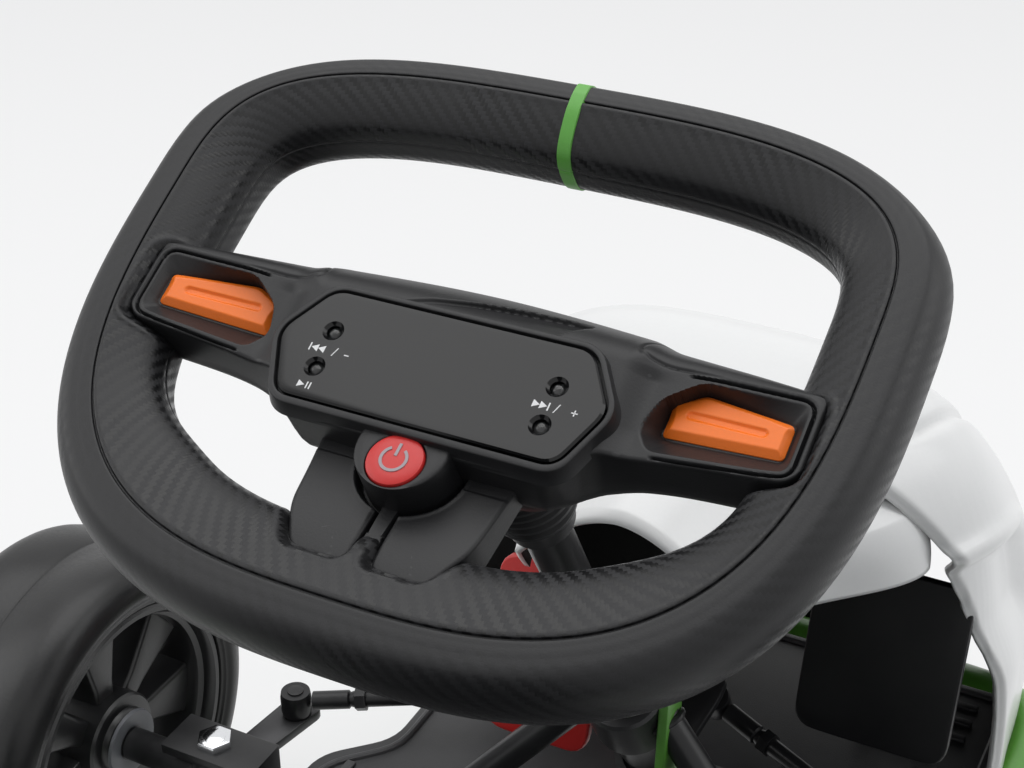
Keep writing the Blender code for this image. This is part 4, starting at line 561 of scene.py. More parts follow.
def dress(node, finish_of, bevel=0.0008, segments=2, angle=30):
    """A copy of a CAD node with its facets merged and its edges rounded, in a better finish."""
    bm = bmesh.new()
    bm.from_mesh(frame["nodes"][node].data)
    bmesh.ops.remove_doubles(bm, verts=bm.verts, dist=1e-5)
    bmesh.ops.dissolve_limit(bm, angle_limit=math.radians(2), verts=bm.verts, edges=bm.edges)
    obj = piece(f"{node}_dressed", bm, finish_of, body_of_node(node), node, angle=angle, recalc=False)
    rounding = obj.modifiers.new("rounding", "BEVEL")
    rounding.width = bevel
    rounding.segments = segments
    rounding.limit_method = "ANGLE"
    rounding.angle_limit = math.radians(angle)


# Steering wheel rim

GROOVE_HALF = 131.7
GROOVE_WIDEST = 36.5
GROOVE_TOP = (65.4, 3.22)
GROOVE_BOTTOM = (135.8, 2.92)
# Rim section from the groove outwards: offset in the wheel's plane and height, in millimetres
RIM_SECTION = [
    (0.30, -0.70), (0.55, 0.28), (2.4, 0.42), (5.3, 0.40), (10.3, -0.3), (14.3, -4.5), (16.5, -11.0), (16.6, -19.0),
    (14.3, -27.0), (8.3, -33.0), (-0.7, -35.3), (-9.7, -34.0), (-15.7, -30.0), (-18.3, -25.0), (-19.0, -19.0),
    (-19.05, -16.6), (-18.6, -15.9), (-18.95, -15.2), (-18.7, -13.0), (-17.2, -9.0), (-13.7, -5.5), (-8.7, -2.6),
    (-3.7, -0.5), (-2.0, 0.25), (-1.2, 0.42), (-0.50, 0.25), (-0.25, -0.70),
]


def groove_point(angle):
    """The groove in the rim's front; angle 0 is the top, growing clockwise for the driver, in millimetres."""
    height, power = GROOVE_TOP if math.cos(angle) > 0 else GROOVE_BOTTOM
    across = math.copysign(abs(math.sin(angle)) ** (2 / power), math.sin(angle))
    upright = math.copysign(abs(math.cos(angle)) ** (2 / power), math.cos(angle))
    return Vector((GROOVE_HALF * across, GROOVE_WIDEST + height * upright, 0))


def polygon_distance(outline, x, y):
    """Distance to an outline, negative inside it."""
    best, inside = 1e9, False
    for (x0, y0), (x1, y1) in zip(outline, outline[1:] + outline[:1]):
        dx, dy = x1 - x0, y1 - y0
        t = max(0.0, min(1.0, ((x - x0) * dx + (y - y0) * dy) / (dx * dx + dy * dy)))
        best = min(best, math.hypot(x - x0 - dx * t, y - y0 - dy * t))
        if (y0 > y) != (y1 > y) and x < x0 + (y - y0) * dx / dy:
            inside = not inside
    return -best if inside else best


def flat_points(outline, bend, steps=5):
    return [(point.x, point.y) for point in soften([(x, y, 0) for x, y in outline], bend, steps)]


# Outlines on the driver's right, in millimetres: a lower pad, and the crossbar's end in the rim
PAD = flat_points([(3.2, -36.0), (38.0, -36.0), (34.2, -68.0), (25.6, -85.0), (3.2, -84.6)], 5.0)
POD = flat_points([(70, 11.2), (125.2, 10.6), (125.2, -21.6), (113.0, -23.2), (70, -26.5)], 7.5)
# Share by which the rim reaches further in along its bottom
LOWER_WIDENING = 0.50
# Depth of the rim's seats under the pads and under the crossbar's ends, and height of the lips round them
PAD_SEAT = 5.0
POD_SEAT, POD_SEAT_MIDDLE = 2.6, 7.0
SEAT_LIP = 0.35
FINE_STEP, COARSE_STEP = 0.62, 2.8


def make_rim():
    fine = [groove_point(2 * math.pi * index / 3600) for index in range(3601)]
    lengths = [0.0]
    for here, there in zip(fine, fine[1:]):
        lengths.append(lengths[-1] + (there - here).length)
    # Stations lie close together at the pads and at the crossbar's ends
    stations, reach = [], -1.0
    for place, length in zip(fine[:-1], lengths):
        near = (abs(place.x) < 52 and place.y < 0) or -32 < place.y < 18
        if length >= reach + (FINE_STEP if near else COARSE_STEP):
            stations.append((place, length))
            reach = length
    stations.append((fine[0], lengths[-1]))
    section = through([(o, z, 0) for o, z in RIM_SECTION], 6, closed=True)
    section.append(section[0])
    around = [0.0]
    for here, there in zip(section, section[1:]):
        around.append(around[-1] + (there - here).length)
    outward = []
    for index in range(len(stations)):
        after = stations[index + 1][0] if index + 1 < len(stations) else stations[1][0]
        before = stations[index - 1][0] if index else stations[-2][0]
        along = (after - before).normalized()
        outward.append(Vector((-along.y, along.x, 0)))
    last, sides = len(stations) - 1, len(section) - 1

    def point(share, turn_share):
        index = round(share * last)
        place = stations[index][0]
        offset = section[round(turn_share * sides)]
        reach_out = offset.x
        if reach_out > 0:
            top = smooth(outward[index].y, 0.2, 0.95)
            bottom = smooth(-outward[index].y, 0.2, 0.95)
            reach_out *= 1.0 - 0.30 * top + 0.09 * bottom
        else:
            reach_out *= 1.0 + LOWER_WIDENING * smooth(-outward[index].y, 0.30, 0.92)
        spot = place + outward[index] * reach_out
        z = offset.y
        if z > -19 and offset.x < 6:
            x, y = abs(spot.x), spot.y
            face = smooth(z, -19, -12) * (1 - smooth(offset.x, 3, 6))
            if x < 48 and y < -40:
                gap = polygon_distance(PAD, x, y)
                z -= PAD_SEAT * (1 - smooth(gap, -1.2, 1.0)) * face
                z += SEAT_LIP * smooth(gap, 0.6, 1.6) * (1 - smooth(gap, 1.8, 3.6)) * smooth(-y, 58, 68) * face
            elif x > 100 and -40 < y < 30:
                gap = polygon_distance(POD, x, y)
                z -= (POD_SEAT * (1 - smooth(gap, -0.6, 1.4)) + POD_SEAT_MIDDLE * smooth(-gap, 0.5, 3.5)) * face
                z += SEAT_LIP * smooth(gap, 0.9, 2.1) * (1 - smooth(gap, 2.2, 4.0)) * face
        return Vector((spot.x, spot.y, z)) * MM

    def chart(share, turn_share):
        index, side = round(share * last), round(turn_share * sides)
        return around[side] * MM, stations[index][1] * MM

    bm = bmesh.new()
    skin(bm, point, last, sides, chart)
    piece("rim_grip", bm, GRIP, "steering", "steering_wheel_rim", WHEEL, angle=50)


make_rim()


# Crossbar, in millimetres in the wheel's frame; only its scooped panel differs from side to side

BAR_HALF = 124.6
BAR_CORNER = 7.0
BAR_TOP = [(0, 28.0), (57, 25.6), (67, 24.2), (90, 20.2), (111, 17.0), (122, 14.5)]
BAR_BOTTOM = [(0, -41.5), (46, -41.0), (51, -38.0), (56, -30.5), (62, -26.4), (76, -24.3), (90, -22.9),
              (124, -20.6)]
BAR_BACK_BOTTOM = [(0, -43.0), (44, -42.0), (50, -39.0), (56, -34.5), (62, -30.8), (75, -26.4), (90, -24.4),
                   (124, -22.4)]
BAR_LEVEL = [(0, -3.4), (58, -3.4), (70, -6.2), (80, -5.6), (100, -4.4), (124, -3.0)]
TRAY = flat_points([(57.0, 7.0), (86, 9.0), (121.6, 8.4), (121.6, -18.6), (112, -19.9), (73.0, -22.9), (57, -22)],
                   5.5)
POCKET = flat_points([(69.0, -13.0), (72.5, -1.6), (84.5, 7.4), (119.9, 6.8), (119.9, -17.2), (110.5, -18.4),
                      (74.5, -20.8)], 3.6)
BUTTON = flat_points([(74.4, -9.9), (74.6, 1.9), (84.6, 6.5), (116.5, 0.3), (116.5, -11.7)], 1.8, 4)
BUTTON_TOP = ((78.0, -12.6), (116.0, -5.4))
PANEL = flat_points([(-29.0, 8.6), (-16.0, 14.0), (0.0, 17.6), (16.0, 19.6), (33.0, 20.8), (40.0, 20.2),
                     (35.0, 14.6), (31.0, 9.8)], 1.2, 3)
GLASS_EDGE = flat_points(both([(48.2, 5.7), (60.6, -14.0), (51.2, -36.2)]), 5.0, 8)
SHOULDER_SEAM = [(60, 13.5), (65, 11.4), (75, 10.2), (100, 10.4)]
SEAM_DEPTH, SEAM_WIDTH = 0.7, 0.55


def bell(value, width, power=2):
    """1 at 0, falling to nothing past the width on either side."""
    return math.exp(-(value / width) ** power)


def button_level(a):
    """Height of a horn button's top at this distance from the crossbar's middle."""
    (a0, z0), (a1, z1) = BUTTON_TOP
    return lerp(z0, z1, (a - a0) / (a1 - a0))


def eased_edge(distance, reach, drop):
    """How far a surface has fallen at this distance inside its edge, as a round of this reach."""
    if distance >= reach:
        return 0.0
    return drop * (1 - math.sqrt(max(0.0, 1 - (1 - max(0.0, distance) / reach) ** 2)))


def bar_surface(x, y, top, bottom):
    """Height of the crossbar's front at a point between its bottom and top edges."""
    a = abs(x)
    z = table(BAR_LEVEL, a)
    # The raised back rolls away above the display and above the pods
    start = lerp(7.2, 10.4, smooth(a, 56, 64))
    if y > start:
        share = (y - start) / max(1.0, top - start)
        z -= lerp(15.5, 11.0, smooth(a, 60, 100)) * share ** 2.1
    # Waist between the display and a pod
    if a > 56:
        z -= bell(a - 66.5, 6.0) * smooth(y, -26.0, -14.0) * (1 - smooth(y, 4.0, 9.0))
    # Groove and lip round a pod's tray, and the pocket that slopes down to the horn button
    if a > 56 and -32 < y < 14:
        tray = polygon_distance(TRAY, a, y)
        reach = max(smooth(a, 78, 82), smooth(y, 2.0, 4.0) * smooth(a, 80, 92),
                    smooth(-y, 18, 20) * smooth(a, 76, 79))
        z -= 2.2 * bell(tray, 0.48, 4) * reach
        z += 0.30 * bell(tray - 1.5, 0.9) * reach
        edge = -polygon_distance(POCKET, a, y)
        if edge > 0:
            away = max(0.0, polygon_distance(BUTTON, a, y) - 0.5)
            share = edge / max(0.05, edge + away)
            z = lerp(z, button_level(a) - 2.6, min(1.0, share * 1.04))
    # Scooped panel on the raised back, deepest under its upper edge
    if -33 < x < 44 and 7 < y < 25:
        z -= lerp(0.9, 2.6, smooth(y, 9.5, 18.5)) * (1 - smooth(polygon_distance(PANEL, x, y), -1.0, 0.7))
    # Seams of the shoulder panels
    if 56 < a < 100 and 7 < y < 26:
        upright = 60.0 + 2.2 * ((y - 15.5) / 5.0) ** 2
        z -= SEAM_DEPTH * bell(a - upright, SEAM_WIDTH) * smooth(y, 11.0, 13.5)
        level = table(SHOULDER_SEAM, a)
        z -= SEAM_DEPTH * bell(y - level, SEAM_WIDTH) * smooth(a, 60, 64) * (1 - smooth(a, 80, 94))
    # Rounded lower edge and ends
    return z - eased_edge(y - bottom, 1.6, 1.6) - eased_edge(BAR_HALF - a, 1.4, 1.4)


def bar_edges(x):
    """(top, front bottom, back bottom) of the crossbar at x."""
    a = abs(x)
    top, bottom, back = (table(points, a) for points in (BAR_TOP, BAR_BOTTOM, BAR_BACK_BOTTOM))
    near_end = a - (BAR_HALF - BAR_CORNER)
    if near_end > 0:
        cut = BAR_CORNER - math.sqrt(max(0.0, BAR_CORNER ** 2 - near_end ** 2))
        top, bottom, back = top - cut, bottom + cut, back + cut
    return top, bottom, back


def make_crossbar():
    columns, front_rows, wall_rows = 520, 156, 12
    places = []
    for index in range(columns + 1):
        share = index / columns * 2 - 1
        places.append(BAR_HALF * (0.86 * share + 0.14 * math.sin(share * math.pi / 2)))

    def point(along, across):
        x = places[round(across * columns)]
        top, bottom, back = bar_edges(x)
        row = round(along * (front_rows + wall_rows))
        if row <= front_rows:
            y = lerp(bottom, top, row / front_rows)
            return Vector((x, y, bar_surface(x, y, top, bottom))) * MM
        high, low = bar_surface(x, top, top, bottom), bar_surface(x, bottom, top, bottom)
        walls = [
            (top - 0.4, lerp(high, -24.0, 0.5)), (top - 1.6, -24.0), (top - 4.0, -27.5),
            (lerp(top, back, 0.3), -29.0), (lerp(top, back, 0.7), -29.0), (back + 3.0, -28.0),
            (back + 0.8, -25.0), (back, -21.0),
            *((lerp(back, bottom, share), lerp(-21.0, low, share)) for share in (0.3, 0.7, 0.93)), (bottom, low),
        ]
        y, z = walls[row - front_rows - 1]
        return Vector((x, y, z)) * MM

    bm = bmesh.new()
    skin(bm, point, front_rows + wall_rows, columns)
    bmesh.ops.remove_doubles(bm, verts=bm.verts, dist=1e-6)
    rims = [edge for edge in bm.edges if edge.is_boundary]
    bmesh.ops.holes_fill(bm, edges=rims, sides=0)
    bezel_ring(bm)
    collar(bm)
    piece("crossbar", bm, BLACK, "steering", "steering_wheel_face", WHEEL, angle=60)


def ring_between(bm, inner, outer, levels, place=None):
    """A closed ring swept over (share from inner to outer, height) levels, in millimetres."""
    count, turns = len(inner), len(levels)

    def point(along, across):
        share, z = levels[round(along * turns) % turns]
        index = round(across * count) % count
        spot = Vector(inner[index]).lerp(Vector(outer[index]), share)
        return Vector((spot.x, spot.y, z)) * MM

    made = skin(bm, point, turns, count)
    bmesh.ops.remove_doubles(bm, verts=made, dist=1e-7)
    if place is not None:
        bmesh.ops.transform(bm, matrix=place, verts=[vert for vert in made if vert.is_valid])


def grown(outline, amount):
    """An outline moved outwards by an amount, point by point."""
    made = []
    for index, here in enumerate(outline):
        before, after = outline[index - 1], outline[(index + 1) % len(outline)]
        along = Vector((after[0] - before[0], after[1] - before[1])).normalized()
        made.append((here[0] + along.y * amount, here[1] - along.x * amount))
    return made


def anticlockwise(outline):
    area = sum(x0 * y1 - x1 * y0 for (x0, y0), (x1, y1) in zip(outline, outline[1:] + outline[:1]))
    return list(outline) if area > 0 else list(reversed(outline))


def spaced(outline, count):
    """The same closed outline with evenly spaced points."""
    lengths = [0.0]
    ends = list(outline) + [outline[0]]
    for here, there in zip(ends, ends[1:]):
        lengths.append(lengths[-1] + math.hypot(there[0] - here[0], there[1] - here[1]))
    made, index = [], 0
    for step in range(count):
        target = lengths[-1] * step / count
        while lengths[index + 1] < target:
            index += 1
        share = (target - lengths[index]) / max(1e-9, lengths[index + 1] - lengths[index])
        (x0, y0), (x1, y1) = ends[index], ends[index + 1]
        made.append((lerp(x0, x1, share), lerp(y0, y1, share)))
    return made


# Where the power button sits, leaning back a little
POWER_SEAT = Matrix.Translation(Vector((0, -48.5, -1.3)) * MM) @ Matrix.Rotation(math.radians(-5), 4, "X")


def bezel_ring(bm):
    """The raised frame round the display."""
    edge = spaced(anticlockwise(GLASS_EDGE), 260)
    inner = grown(edge, 0.95)
    outer = [(x, y - 0.6 * smooth(-y, 22, 36)) for x, y in grown(edge, 2.9)]
    levels = [(0.0, -6.0), (0.0, 0.25), (0.06, 0.42), (0.20, 0.50), (0.80, 0.46), (0.95, 0.30), (1.02, -0.20),
              (1.25, -2.2), (1.7, -6.0)]
    ring_between(bm, inner, outer, levels)


def collar(bm):
    """The round boss that holds the power button."""
    levels = [(0.0, -6.0), (0.0, -0.35), (0.04, -0.05), (0.10, 0.0), (0.84, 0.0), (0.93, -0.30), (1.0, -1.2),
              (1.06, -6.0), (1.12, -12.0), (1.2, -19.0)]
    ring_between(bm, circle(10.15), circle(16.4, (0, 5.6)), levels, POWER_SEAT)


make_crossbar()


def carve(obj, shapes):
    """Cuts each shape out of a piece and keeps the result in its mesh."""
    for shape in shapes:
        cut = obj.modifiers.new("cut", "BOOLEAN")
        cut.operation = "DIFFERENCE"
        cut.solver = "EXACT"
        cut.object = shape
    graph = bpy.context.evaluated_depsgraph_get()
    made = bpy.data.meshes.new_from_object(obj.evaluated_get(graph))
    obj.modifiers.clear()
    obj.data = made
    for shape in shapes:
        bpy.data.objects.remove(shape, do_unlink=True)


def cutter(bm, place=None):
    """A shape to be cut out of a piece."""
    if place is not None:
        bmesh.ops.transform(bm, matrix=place, verts=bm.verts)
    bmesh.ops.recalc_face_normals(bm, faces=bm.faces)
    return add_object("cutter", mesh_from("cutter", bm))


def island(bm, outline, spine, height, rings=36, count=220, base=-6.0, skirt=3):
    """A solid over an outline: its top height(x, y) is sampled from the edge in to a spine, in millimetres."""
    edge = spaced(anticlockwise(outline), count)
    (x0, y0), (x1, y1) = spine
    dx, dy = x1 - x0, y1 - y0
    inner = []
    for x, y in edge:
        t = max(0.0, min(1.0, ((x - x0) * dx + (y - y0) * dy) / (dx * dx + dy * dy)))
        inner.append((x0 + dx * t, y0 + dy * t))

    def point(along, across):
        row, index = round(along * (rings + skirt)), round(across * count) % count
        share = (max(0, row - skirt) / rings) ** 1.35
        x, y = lerp(edge[index][0], inner[index][0], share), lerp(edge[index][1], inner[index][1], share)
        z = height(x, y)
        if row < skirt:
            z = lerp(base, z, row / skirt)
        return Vector((x, y, z)) * MM

    made = skin(bm, point, rings + skirt, count)
    bmesh.ops.remove_doubles(bm, verts=made, dist=1e-6)


# Display, its keys and signs

GLASS_TOP = 1.0
KEY_X, KEY_UPPER, KEY_LOWER = 41.6, -10.0, -24.5
# Radius and height of the hollow round a key and of the bore that its plunger moves in
KEY_HOLLOW = [(0, -1.9), (1.4, -1.85), (2.6, -1.35), (3.4, -0.65), (3.85, -0.05), (4.05, 0.35), (4.1, 2.0), (0, 2.0)]
KEY_BORE = [(0, -9), (2.75, -9), (2.75, 2), (0, 2)]


def make_display():
    bm = bmesh.new()
    edge = spaced(anticlockwise(GLASS_EDGE), 220)
    island(bm, edge, ((-30, -15), (30, -15)),
           lambda x, y: GLASS_TOP - eased_edge(-polygon_distance(edge, x, y), 1.1, 0.8), 14, 220, -4.0, 2)
    glass = piece("display_window", bm, GLASS_BLACK, "steering", "display_glass", WHEEL, angle=40)
    shapes = []
    for side, _ in SIDES:
        for y in (KEY_UPPER, KEY_LOWER):
            for profile, steps, level in ((KEY_HOLLOW, 48, GLASS_TOP + 0.1), (KEY_BORE, 40, 0.0)):
                bm = bmesh.new()
                turn(bm, profile, steps, Matrix.Translation((side * KEY_X, y, level)))
                bmesh.ops.scale(bm, vec=(MM, MM, MM), verts=bm.verts)
                shapes.append(cutter(bm, WHEEL))
    carve(glass, shapes)
    set_shading(glass.data, 35)
    for side, label in SIDES:
        for y, level in ((KEY_UPPER, "upper"), (KEY_LOWER, "lower")):
            bm = bmesh.new()
            place = Matrix.Translation(Vector((-side * KEY_X, y, 0)) * MM)
            turn(bm, [(0, 0.00015), (0.0010, 0.00005), (0.0018, -0.0003), (0.0023, -0.0009), (0.00255, -0.0018),
                      (0.00255, -0.0075), (0, -0.0075)], 40, place)
            piece(f"key_cap_{level}_{label}", bm, CLEAR, f"{level}_{label}_key", f"{level}_{label}_plunger",
                  WHEEL)
            # Under each clear key, a black base and a lining of its bore, near-black and matte as painted shade in
            # the hole
            bm = bmesh.new()
            turn(bm, [(0, -0.0056), (0.0012, -0.0054), (0.0019, -0.0060), (0.0024, -0.0078), (0, -0.0078)], 24, place)
            turn(bm, [(0.00285, -0.0022), (0.0031, -0.0022), (0.0031, -0.0078), (0.00285, -0.0078)], 24, place)
            piece(f"key_seat_{level}_{label}", bm, SHADE_BLACK, "steering", (), WHEEL)
    make_signs()


def make_signs():
    """Signs printed on the window: back and minus, play and pause, forward and plus."""
    bm = bmesh.new()
    under, over = (GLASS_TOP + 0.003) * MM, (GLASS_TOP + 0.035) * MM

    def sign(points):
        plate(bm, [(x * MM, y * MM) for x, y in points], under, over)

    def bar(x, y, width, height, slant=0.0):
        sign([(x - width / 2 - slant, y - height / 2), (x + width / 2 - slant, y - height / 2),
              (x + width / 2 + slant, y + height / 2), (x - width / 2 + slant, y + height / 2)])

    row, low_row = -17.6, -31.9
    size = 1.22
    half = size * 1.15
    for side, start in ((-1, -42.6), (1, 37.6)):
        for step in (0, 1):
            tip = start + side * size * (0.9 + 2.1 * step)
            base = tip - side * size * 2.1
            sign([(base, row - half), (tip, row), (base, row + half)][::side])
        bar(start + side * size * 3.4, row, 0.5, size * 2.4)
    for shape in (
        (-37.2, row, 0.36, 3.4, 0.65), (-32.6, row - 0.3, 1.8, 0.40), (44.6, row, 0.36, 3.4, 0.65),
        (50.8, row - 0.1, 2.2, 0.40), (50.8, row - 0.1, 0.40, 2.2), (-40.9, low_row, 0.5, 2.6),
        (-39.7, low_row, 0.5, 2.6),
    ):
        bar(*shape)
    sign([(-44.4, low_row - 1.3), (-41.8, low_row), (-44.4, low_row + 1.3)])
    piece("window_signs", bm, PRINT_WHITE, "steering", (), WHEEL)


def make_horn_buttons():
    # The pressed line on each button runs between these two points
    start, end = (82.0, -1.7), (107.5, -4.1)
    for side, label in SIDES:
        outline = [(-side * x, y) for x, y in BUTTON]

        def height(x, y):
            inside = -polygon_distance(outline, x, y)
            fall = max(0.0, lerp(1.6, 2.8, smooth(-y, -2, 4)) - inside)
            fall = 0.85 * (fall - 0.35 if fall > 0.7 else fall * fall / 1.4)
            share = max(0.0, min(1.0, (abs(x) - start[0]) / (end[0] - start[0])))
            near = math.hypot(abs(x) - lerp(start[0], end[0], share), y - lerp(start[1], end[1], share))
            return button_level(abs(x)) - fall - 0.85 * (1 - smooth(near, 0.7, 1.9))

        bm = bmesh.new()
        island(bm, outline, ((-side * 82.0, -2.2), (-side * 110.5, -4.6)), height, 44, 300, -16.5, 3)
        piece(f"horn_key_{label}", bm, ORANGE, f"horn_{label}", f"horn_button_{label}", WHEEL,
              angle=60)


def make_power_button():
    bm = bmesh.new()
    turn(bm, [(0, 0.0013), (0.0060, 0.00125), (0.0086, 0.0010), (0.0095, 0.0006), (0.0098, 0.0), (0.0098, -0.0050),
              (0, -0.0050)], 64, POWER_SEAT)
    piece("power_cap", bm, RED, "power", "power_button", WHEEL)
    bm = bmesh.new()
    low, high = 0.0009, 0.00155
    stroke = 0.00052
    ring = []
    for radius, order in ((0.0044 + stroke, 1), (0.0044 - stroke, -1)):
        arc = [math.radians(123 + 294 * k / 40) for k in range(41)][::order]
        ring += [(radius * math.cos(angle), radius * math.sin(angle) - 0.0002) for angle in arc]
    plate(bm, ring, low, high, place=POWER_SEAT)
    plate(bm, [(-stroke, 0.0010), (stroke, 0.0010), (stroke, 0.0058), (-stroke, 0.0058)], low, high,
          place=POWER_SEAT)
    piece("power_sign", bm, PRINT_GREY, "power", (), WHEEL)


PAD_LEVEL = [(34, -15.6), (46, -14.6), (80, -8.9), (92, -8.5)]
# The gap between the collar and the pads: its middle's height and its radius
GAP_CENTRE = -42.9
GAP_RADIUS = 19.0


def pad_level(y):
    """The pads' height at y: a slope down from the rim that levels out under the collar."""
    return table(PAD_LEVEL, -y) if -y < 46 else lerp(-14.6, -8.7, smooth(-y, 40, 86))


def make_lower_pads():
    for side, label in SIDES:
        outline = grown(anticlockwise([(-side * x, y) for x, y in PAD]), -0.9)

        def height(x, y):
            inside = -polygon_distance(outline, x, y)
            away = math.hypot(x, y - GAP_CENTRE)
            drop = 6.0 * (1 - smooth(away, GAP_RADIUS, GAP_RADIUS + 0.7))
            bead = 0.35 * bell(away - GAP_RADIUS - 1.2, 0.6)
            return pad_level(y) + bead - drop - eased_edge(inside, 1.7, 1.5)

        bm = bmesh.new()
        island(bm, outline, ((-side * 15.0, -46.0), (-side * 14.5, -72.0)), height, 60, 280, -25.0, 3)
        piece(f"lower_pad_{label}", bm, BLACK, "steering", f"lower_spoke_{label}", WHEEL,
              angle=60)


def make_hub():
    """The cover behind the crossbar, the tongue between the pads and the boss on the column."""
    bm = bmesh.new()
    outline = flat_points(both([(30, 28.5), (56, 14), (56, -22), (38, -40)]), 9.0, 6)
    edge = spaced(anticlockwise(outline), 160)
    levels = [(-26.0, 0.0), (-32.0, 0.4), (-40.0, 3.0), (-45.5, 8.0), (-48.0, 14.0)]
    count = len(edge)

    def point(along, across):
        z, inset = levels[round(along * (len(levels) - 1))]
        index = round(across * count) % count
        x, y = grown(edge, -inset)[index]
        return Vector((x, y, z)) * MM

    made = skin(bm, point, len(levels) - 1, count)
    bmesh.ops.remove_doubles(bm, verts=made, dist=1e-7)
    bmesh.ops.holes_fill(bm, edges=[edge for edge in bm.edges if edge.is_boundary], sides=0)
    # Tongue between and under the pads
    tongue = spaced(anticlockwise(flat_points(both([(30, -30), (27, -60), (20, -78)]), 4.0)), 160)
    island(bm, tongue, ((0, -40), (0, -70)), lambda x, y: pad_level(y) - 1.0 - 6.0 * smooth(abs(x), 3.0, 4.2), 26,
           160, -30.0, 2)
    turn(bm, [(0, -0.048), (0.020, -0.048), (0.027, -0.052), (0.029, -0.058), (0.0285, -0.066), (0.026, -0.0685),
              (0, -0.0685)], 56)
    piece("wheel_back_cover", bm, BLACK, "steering", "steering_wheel_rear_cover", WHEEL, angle=40)


def make_band():
    """The painted band at the rim's top, following the rim's section."""
    section = through([(o * (0.70 if o > 0 else 1.0), z, 0) for o, z in RIM_SECTION
                       if not -2.1 < o < 0.8 or z < -2], 4, closed=True)
    reach, lift, shift = 3.3, 0.55, 1.8
    bm = bmesh.new()
    count = len(section)
    middle = Vector((-1.5, -17.0, 0))

    def point(along, across):
        offset = section[round(across * count) % count]
        away = (offset - middle).normalized()
        x = lerp(-reach, reach, along)
        swell = lift * (1 - smooth(abs(x), reach - 0.8, reach)) if along not in (0, 1) else -1.4
        spot = offset + away * swell
        return Vector((x + shift, GROOVE_WIDEST + GROOVE_TOP[0] + spot.x, spot.y)) * MM

    skin(bm, point, 8, count)
    piece("grip_band", bm, BAND_GREEN, "steering", "top_band", WHEEL, angle=50)


def make_rim_screw():
    bm = bmesh.new()
    turn(bm, [(0, 0.0022), (0.0022, 0.0021), (0.0042, 0.0014), (0.0054, 0.0), (0.0056, -0.0035), (0, -0.0035)], 40)
    low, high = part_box("rim_screw")
    down = -(WHEEL.to_3x3() @ Vector((0, 1, 0)))
    middle = (Vector(low) + Vector(high)) / 2 + down * 0.0026
    piece("rim_screw_head", bm, STEEL_DARK, "steering", "rim_screw", towards(middle, down))


make_display()
make_horn_buttons()
make_power_button()
make_lower_pads()
make_hub()
make_band()
make_rim_screw()


# Steering column and linkage; the column's axis is the wheel's z axis

BEARING_DEPTH = 0.320
BEARING_PLACE = WHEEL @ Vector((0, 0, -BEARING_DEPTH))
LEG_TOP_X = 0.0182
LEG_FOOT = (0.118, -0.270, 0.082)


def leg_ends(side):
    """Top and foot of a leg that holds the column's bearing."""
    return (Vector((side * LEG_TOP_X, BEARING_PLACE.y, BEARING_PLACE.z)),
            Vector((side * LEG_FOOT[0], *LEG_FOOT[1:])))


def make_column():
    bm = bmesh.new()
    turn(bm, [(0, -0.050), (0.0115, -0.050), (0.0115, -0.118), (0.0100, -0.122), (0.0100, -0.298), (0.0138, -0.302),
              (0.0138, -0.372), (0.0128, -0.374), (0.0128, -0.384), (0.0145, -0.386), (0.0145, -0.394),
              (0.0095, -0.397), (0.0095, -0.426), (0, -0.428)], 48)
    # Arm that moves the tie rods
    arm = flat_points([(-0.012, -0.010), (0.012, -0.010), (0.0225, 0.040), (0.0225, 0.052), (-0.0225, 0.052),
                       (-0.0225, 0.040)], 0.008)
    low, high = -0.3925, -0.3875
    bore, boss, stand_out = 0.0146, 0.0186, 0.004
    plate(bm, arm, low, high, 0.0008, 2)
    turn(bm, [(bore, low - stand_out), (boss, low - stand_out), (boss, high + stand_out), (bore, high + stand_out)],
         40)
    piece("column_shaft", bm, SATIN_BLACK, "steering", "steering_column", WHEEL, angle=35)


def make_boot():
    """Short rubber gaiter under the wheel's hub."""
    bm = bmesh.new()
    profile = [(0.0112, -0.0700)]
    folds = 7
    for k in range(folds):
        share = k / folds
        radius = lerp(0.0275, 0.0165, share ** 0.7)
        z = -0.0690 - 0.0072 * k
        profile += [(radius - 0.0022, z), (radius, z - 0.0018), (radius, z - 0.0034), (radius - 0.0022, z - 0.0052)]
    end = profile[-1][1]
    profile += [(0.0145, end - 0.002), (0.0140, end - 0.0120), (0.0112, end - 0.0125)]
    turn(bm, profile, 56)
    piece("column_gaiter", bm, BLACK, "steering", "column_boot", WHEEL, angle=50)


def make_tie_rods():
    eye = [(0.0030, -0.0070), (0.0080, -0.0070), (0.0085, -0.0040), (0.0085, 0.0040), (0.0080, 0.0070),
           (0.0030, 0.0070)]
    pin = [(0, -0.0078), (0.0044, -0.0078), (0.0050, 0.0), (0.0044, 0.0078), (0, 0.0085)]
    for side, label in SIDES:
        body = f"tie_rod_{label}"
        outer = Vector((side * 0.203, -0.298, 0.1168))
        low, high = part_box(body)
        inner = Vector((side * 0.0122, low[1] + 0.0085, high[2] - 0.0105))
        length = (inner - outer).length
        place = towards(outer, (inner - outer).normalized())
        bm = bmesh.new()
        # Sleeves at both ends of a thinner rod, each with a lock nut
        half = [(0, 0.010), (0.0052, 0.010), (0.0052, 0.030), (0.0040, 0.031), (0.0046, 0.033)]
        turn(bm, half + [(radius, length - at) for radius, at in reversed(half)], 32, place)
        for at in (0.034, length - 0.040):
            bolt(bm, 0.0068, 0.006, place @ Matrix.Translation((0, 0, at)))
        for spot, lean in ((outer, 0.0), (inner, -WHEEL_TILT)):
            stand = Matrix.Translation(spot) @ Matrix.Rotation(lean, 4, "X")
            turn(bm, eye, 32, stand)
            turn(bm, pin, 24, stand)
        piece(f"track_rod_{label}", bm, SATIN_BLACK, body, body)


# Frame

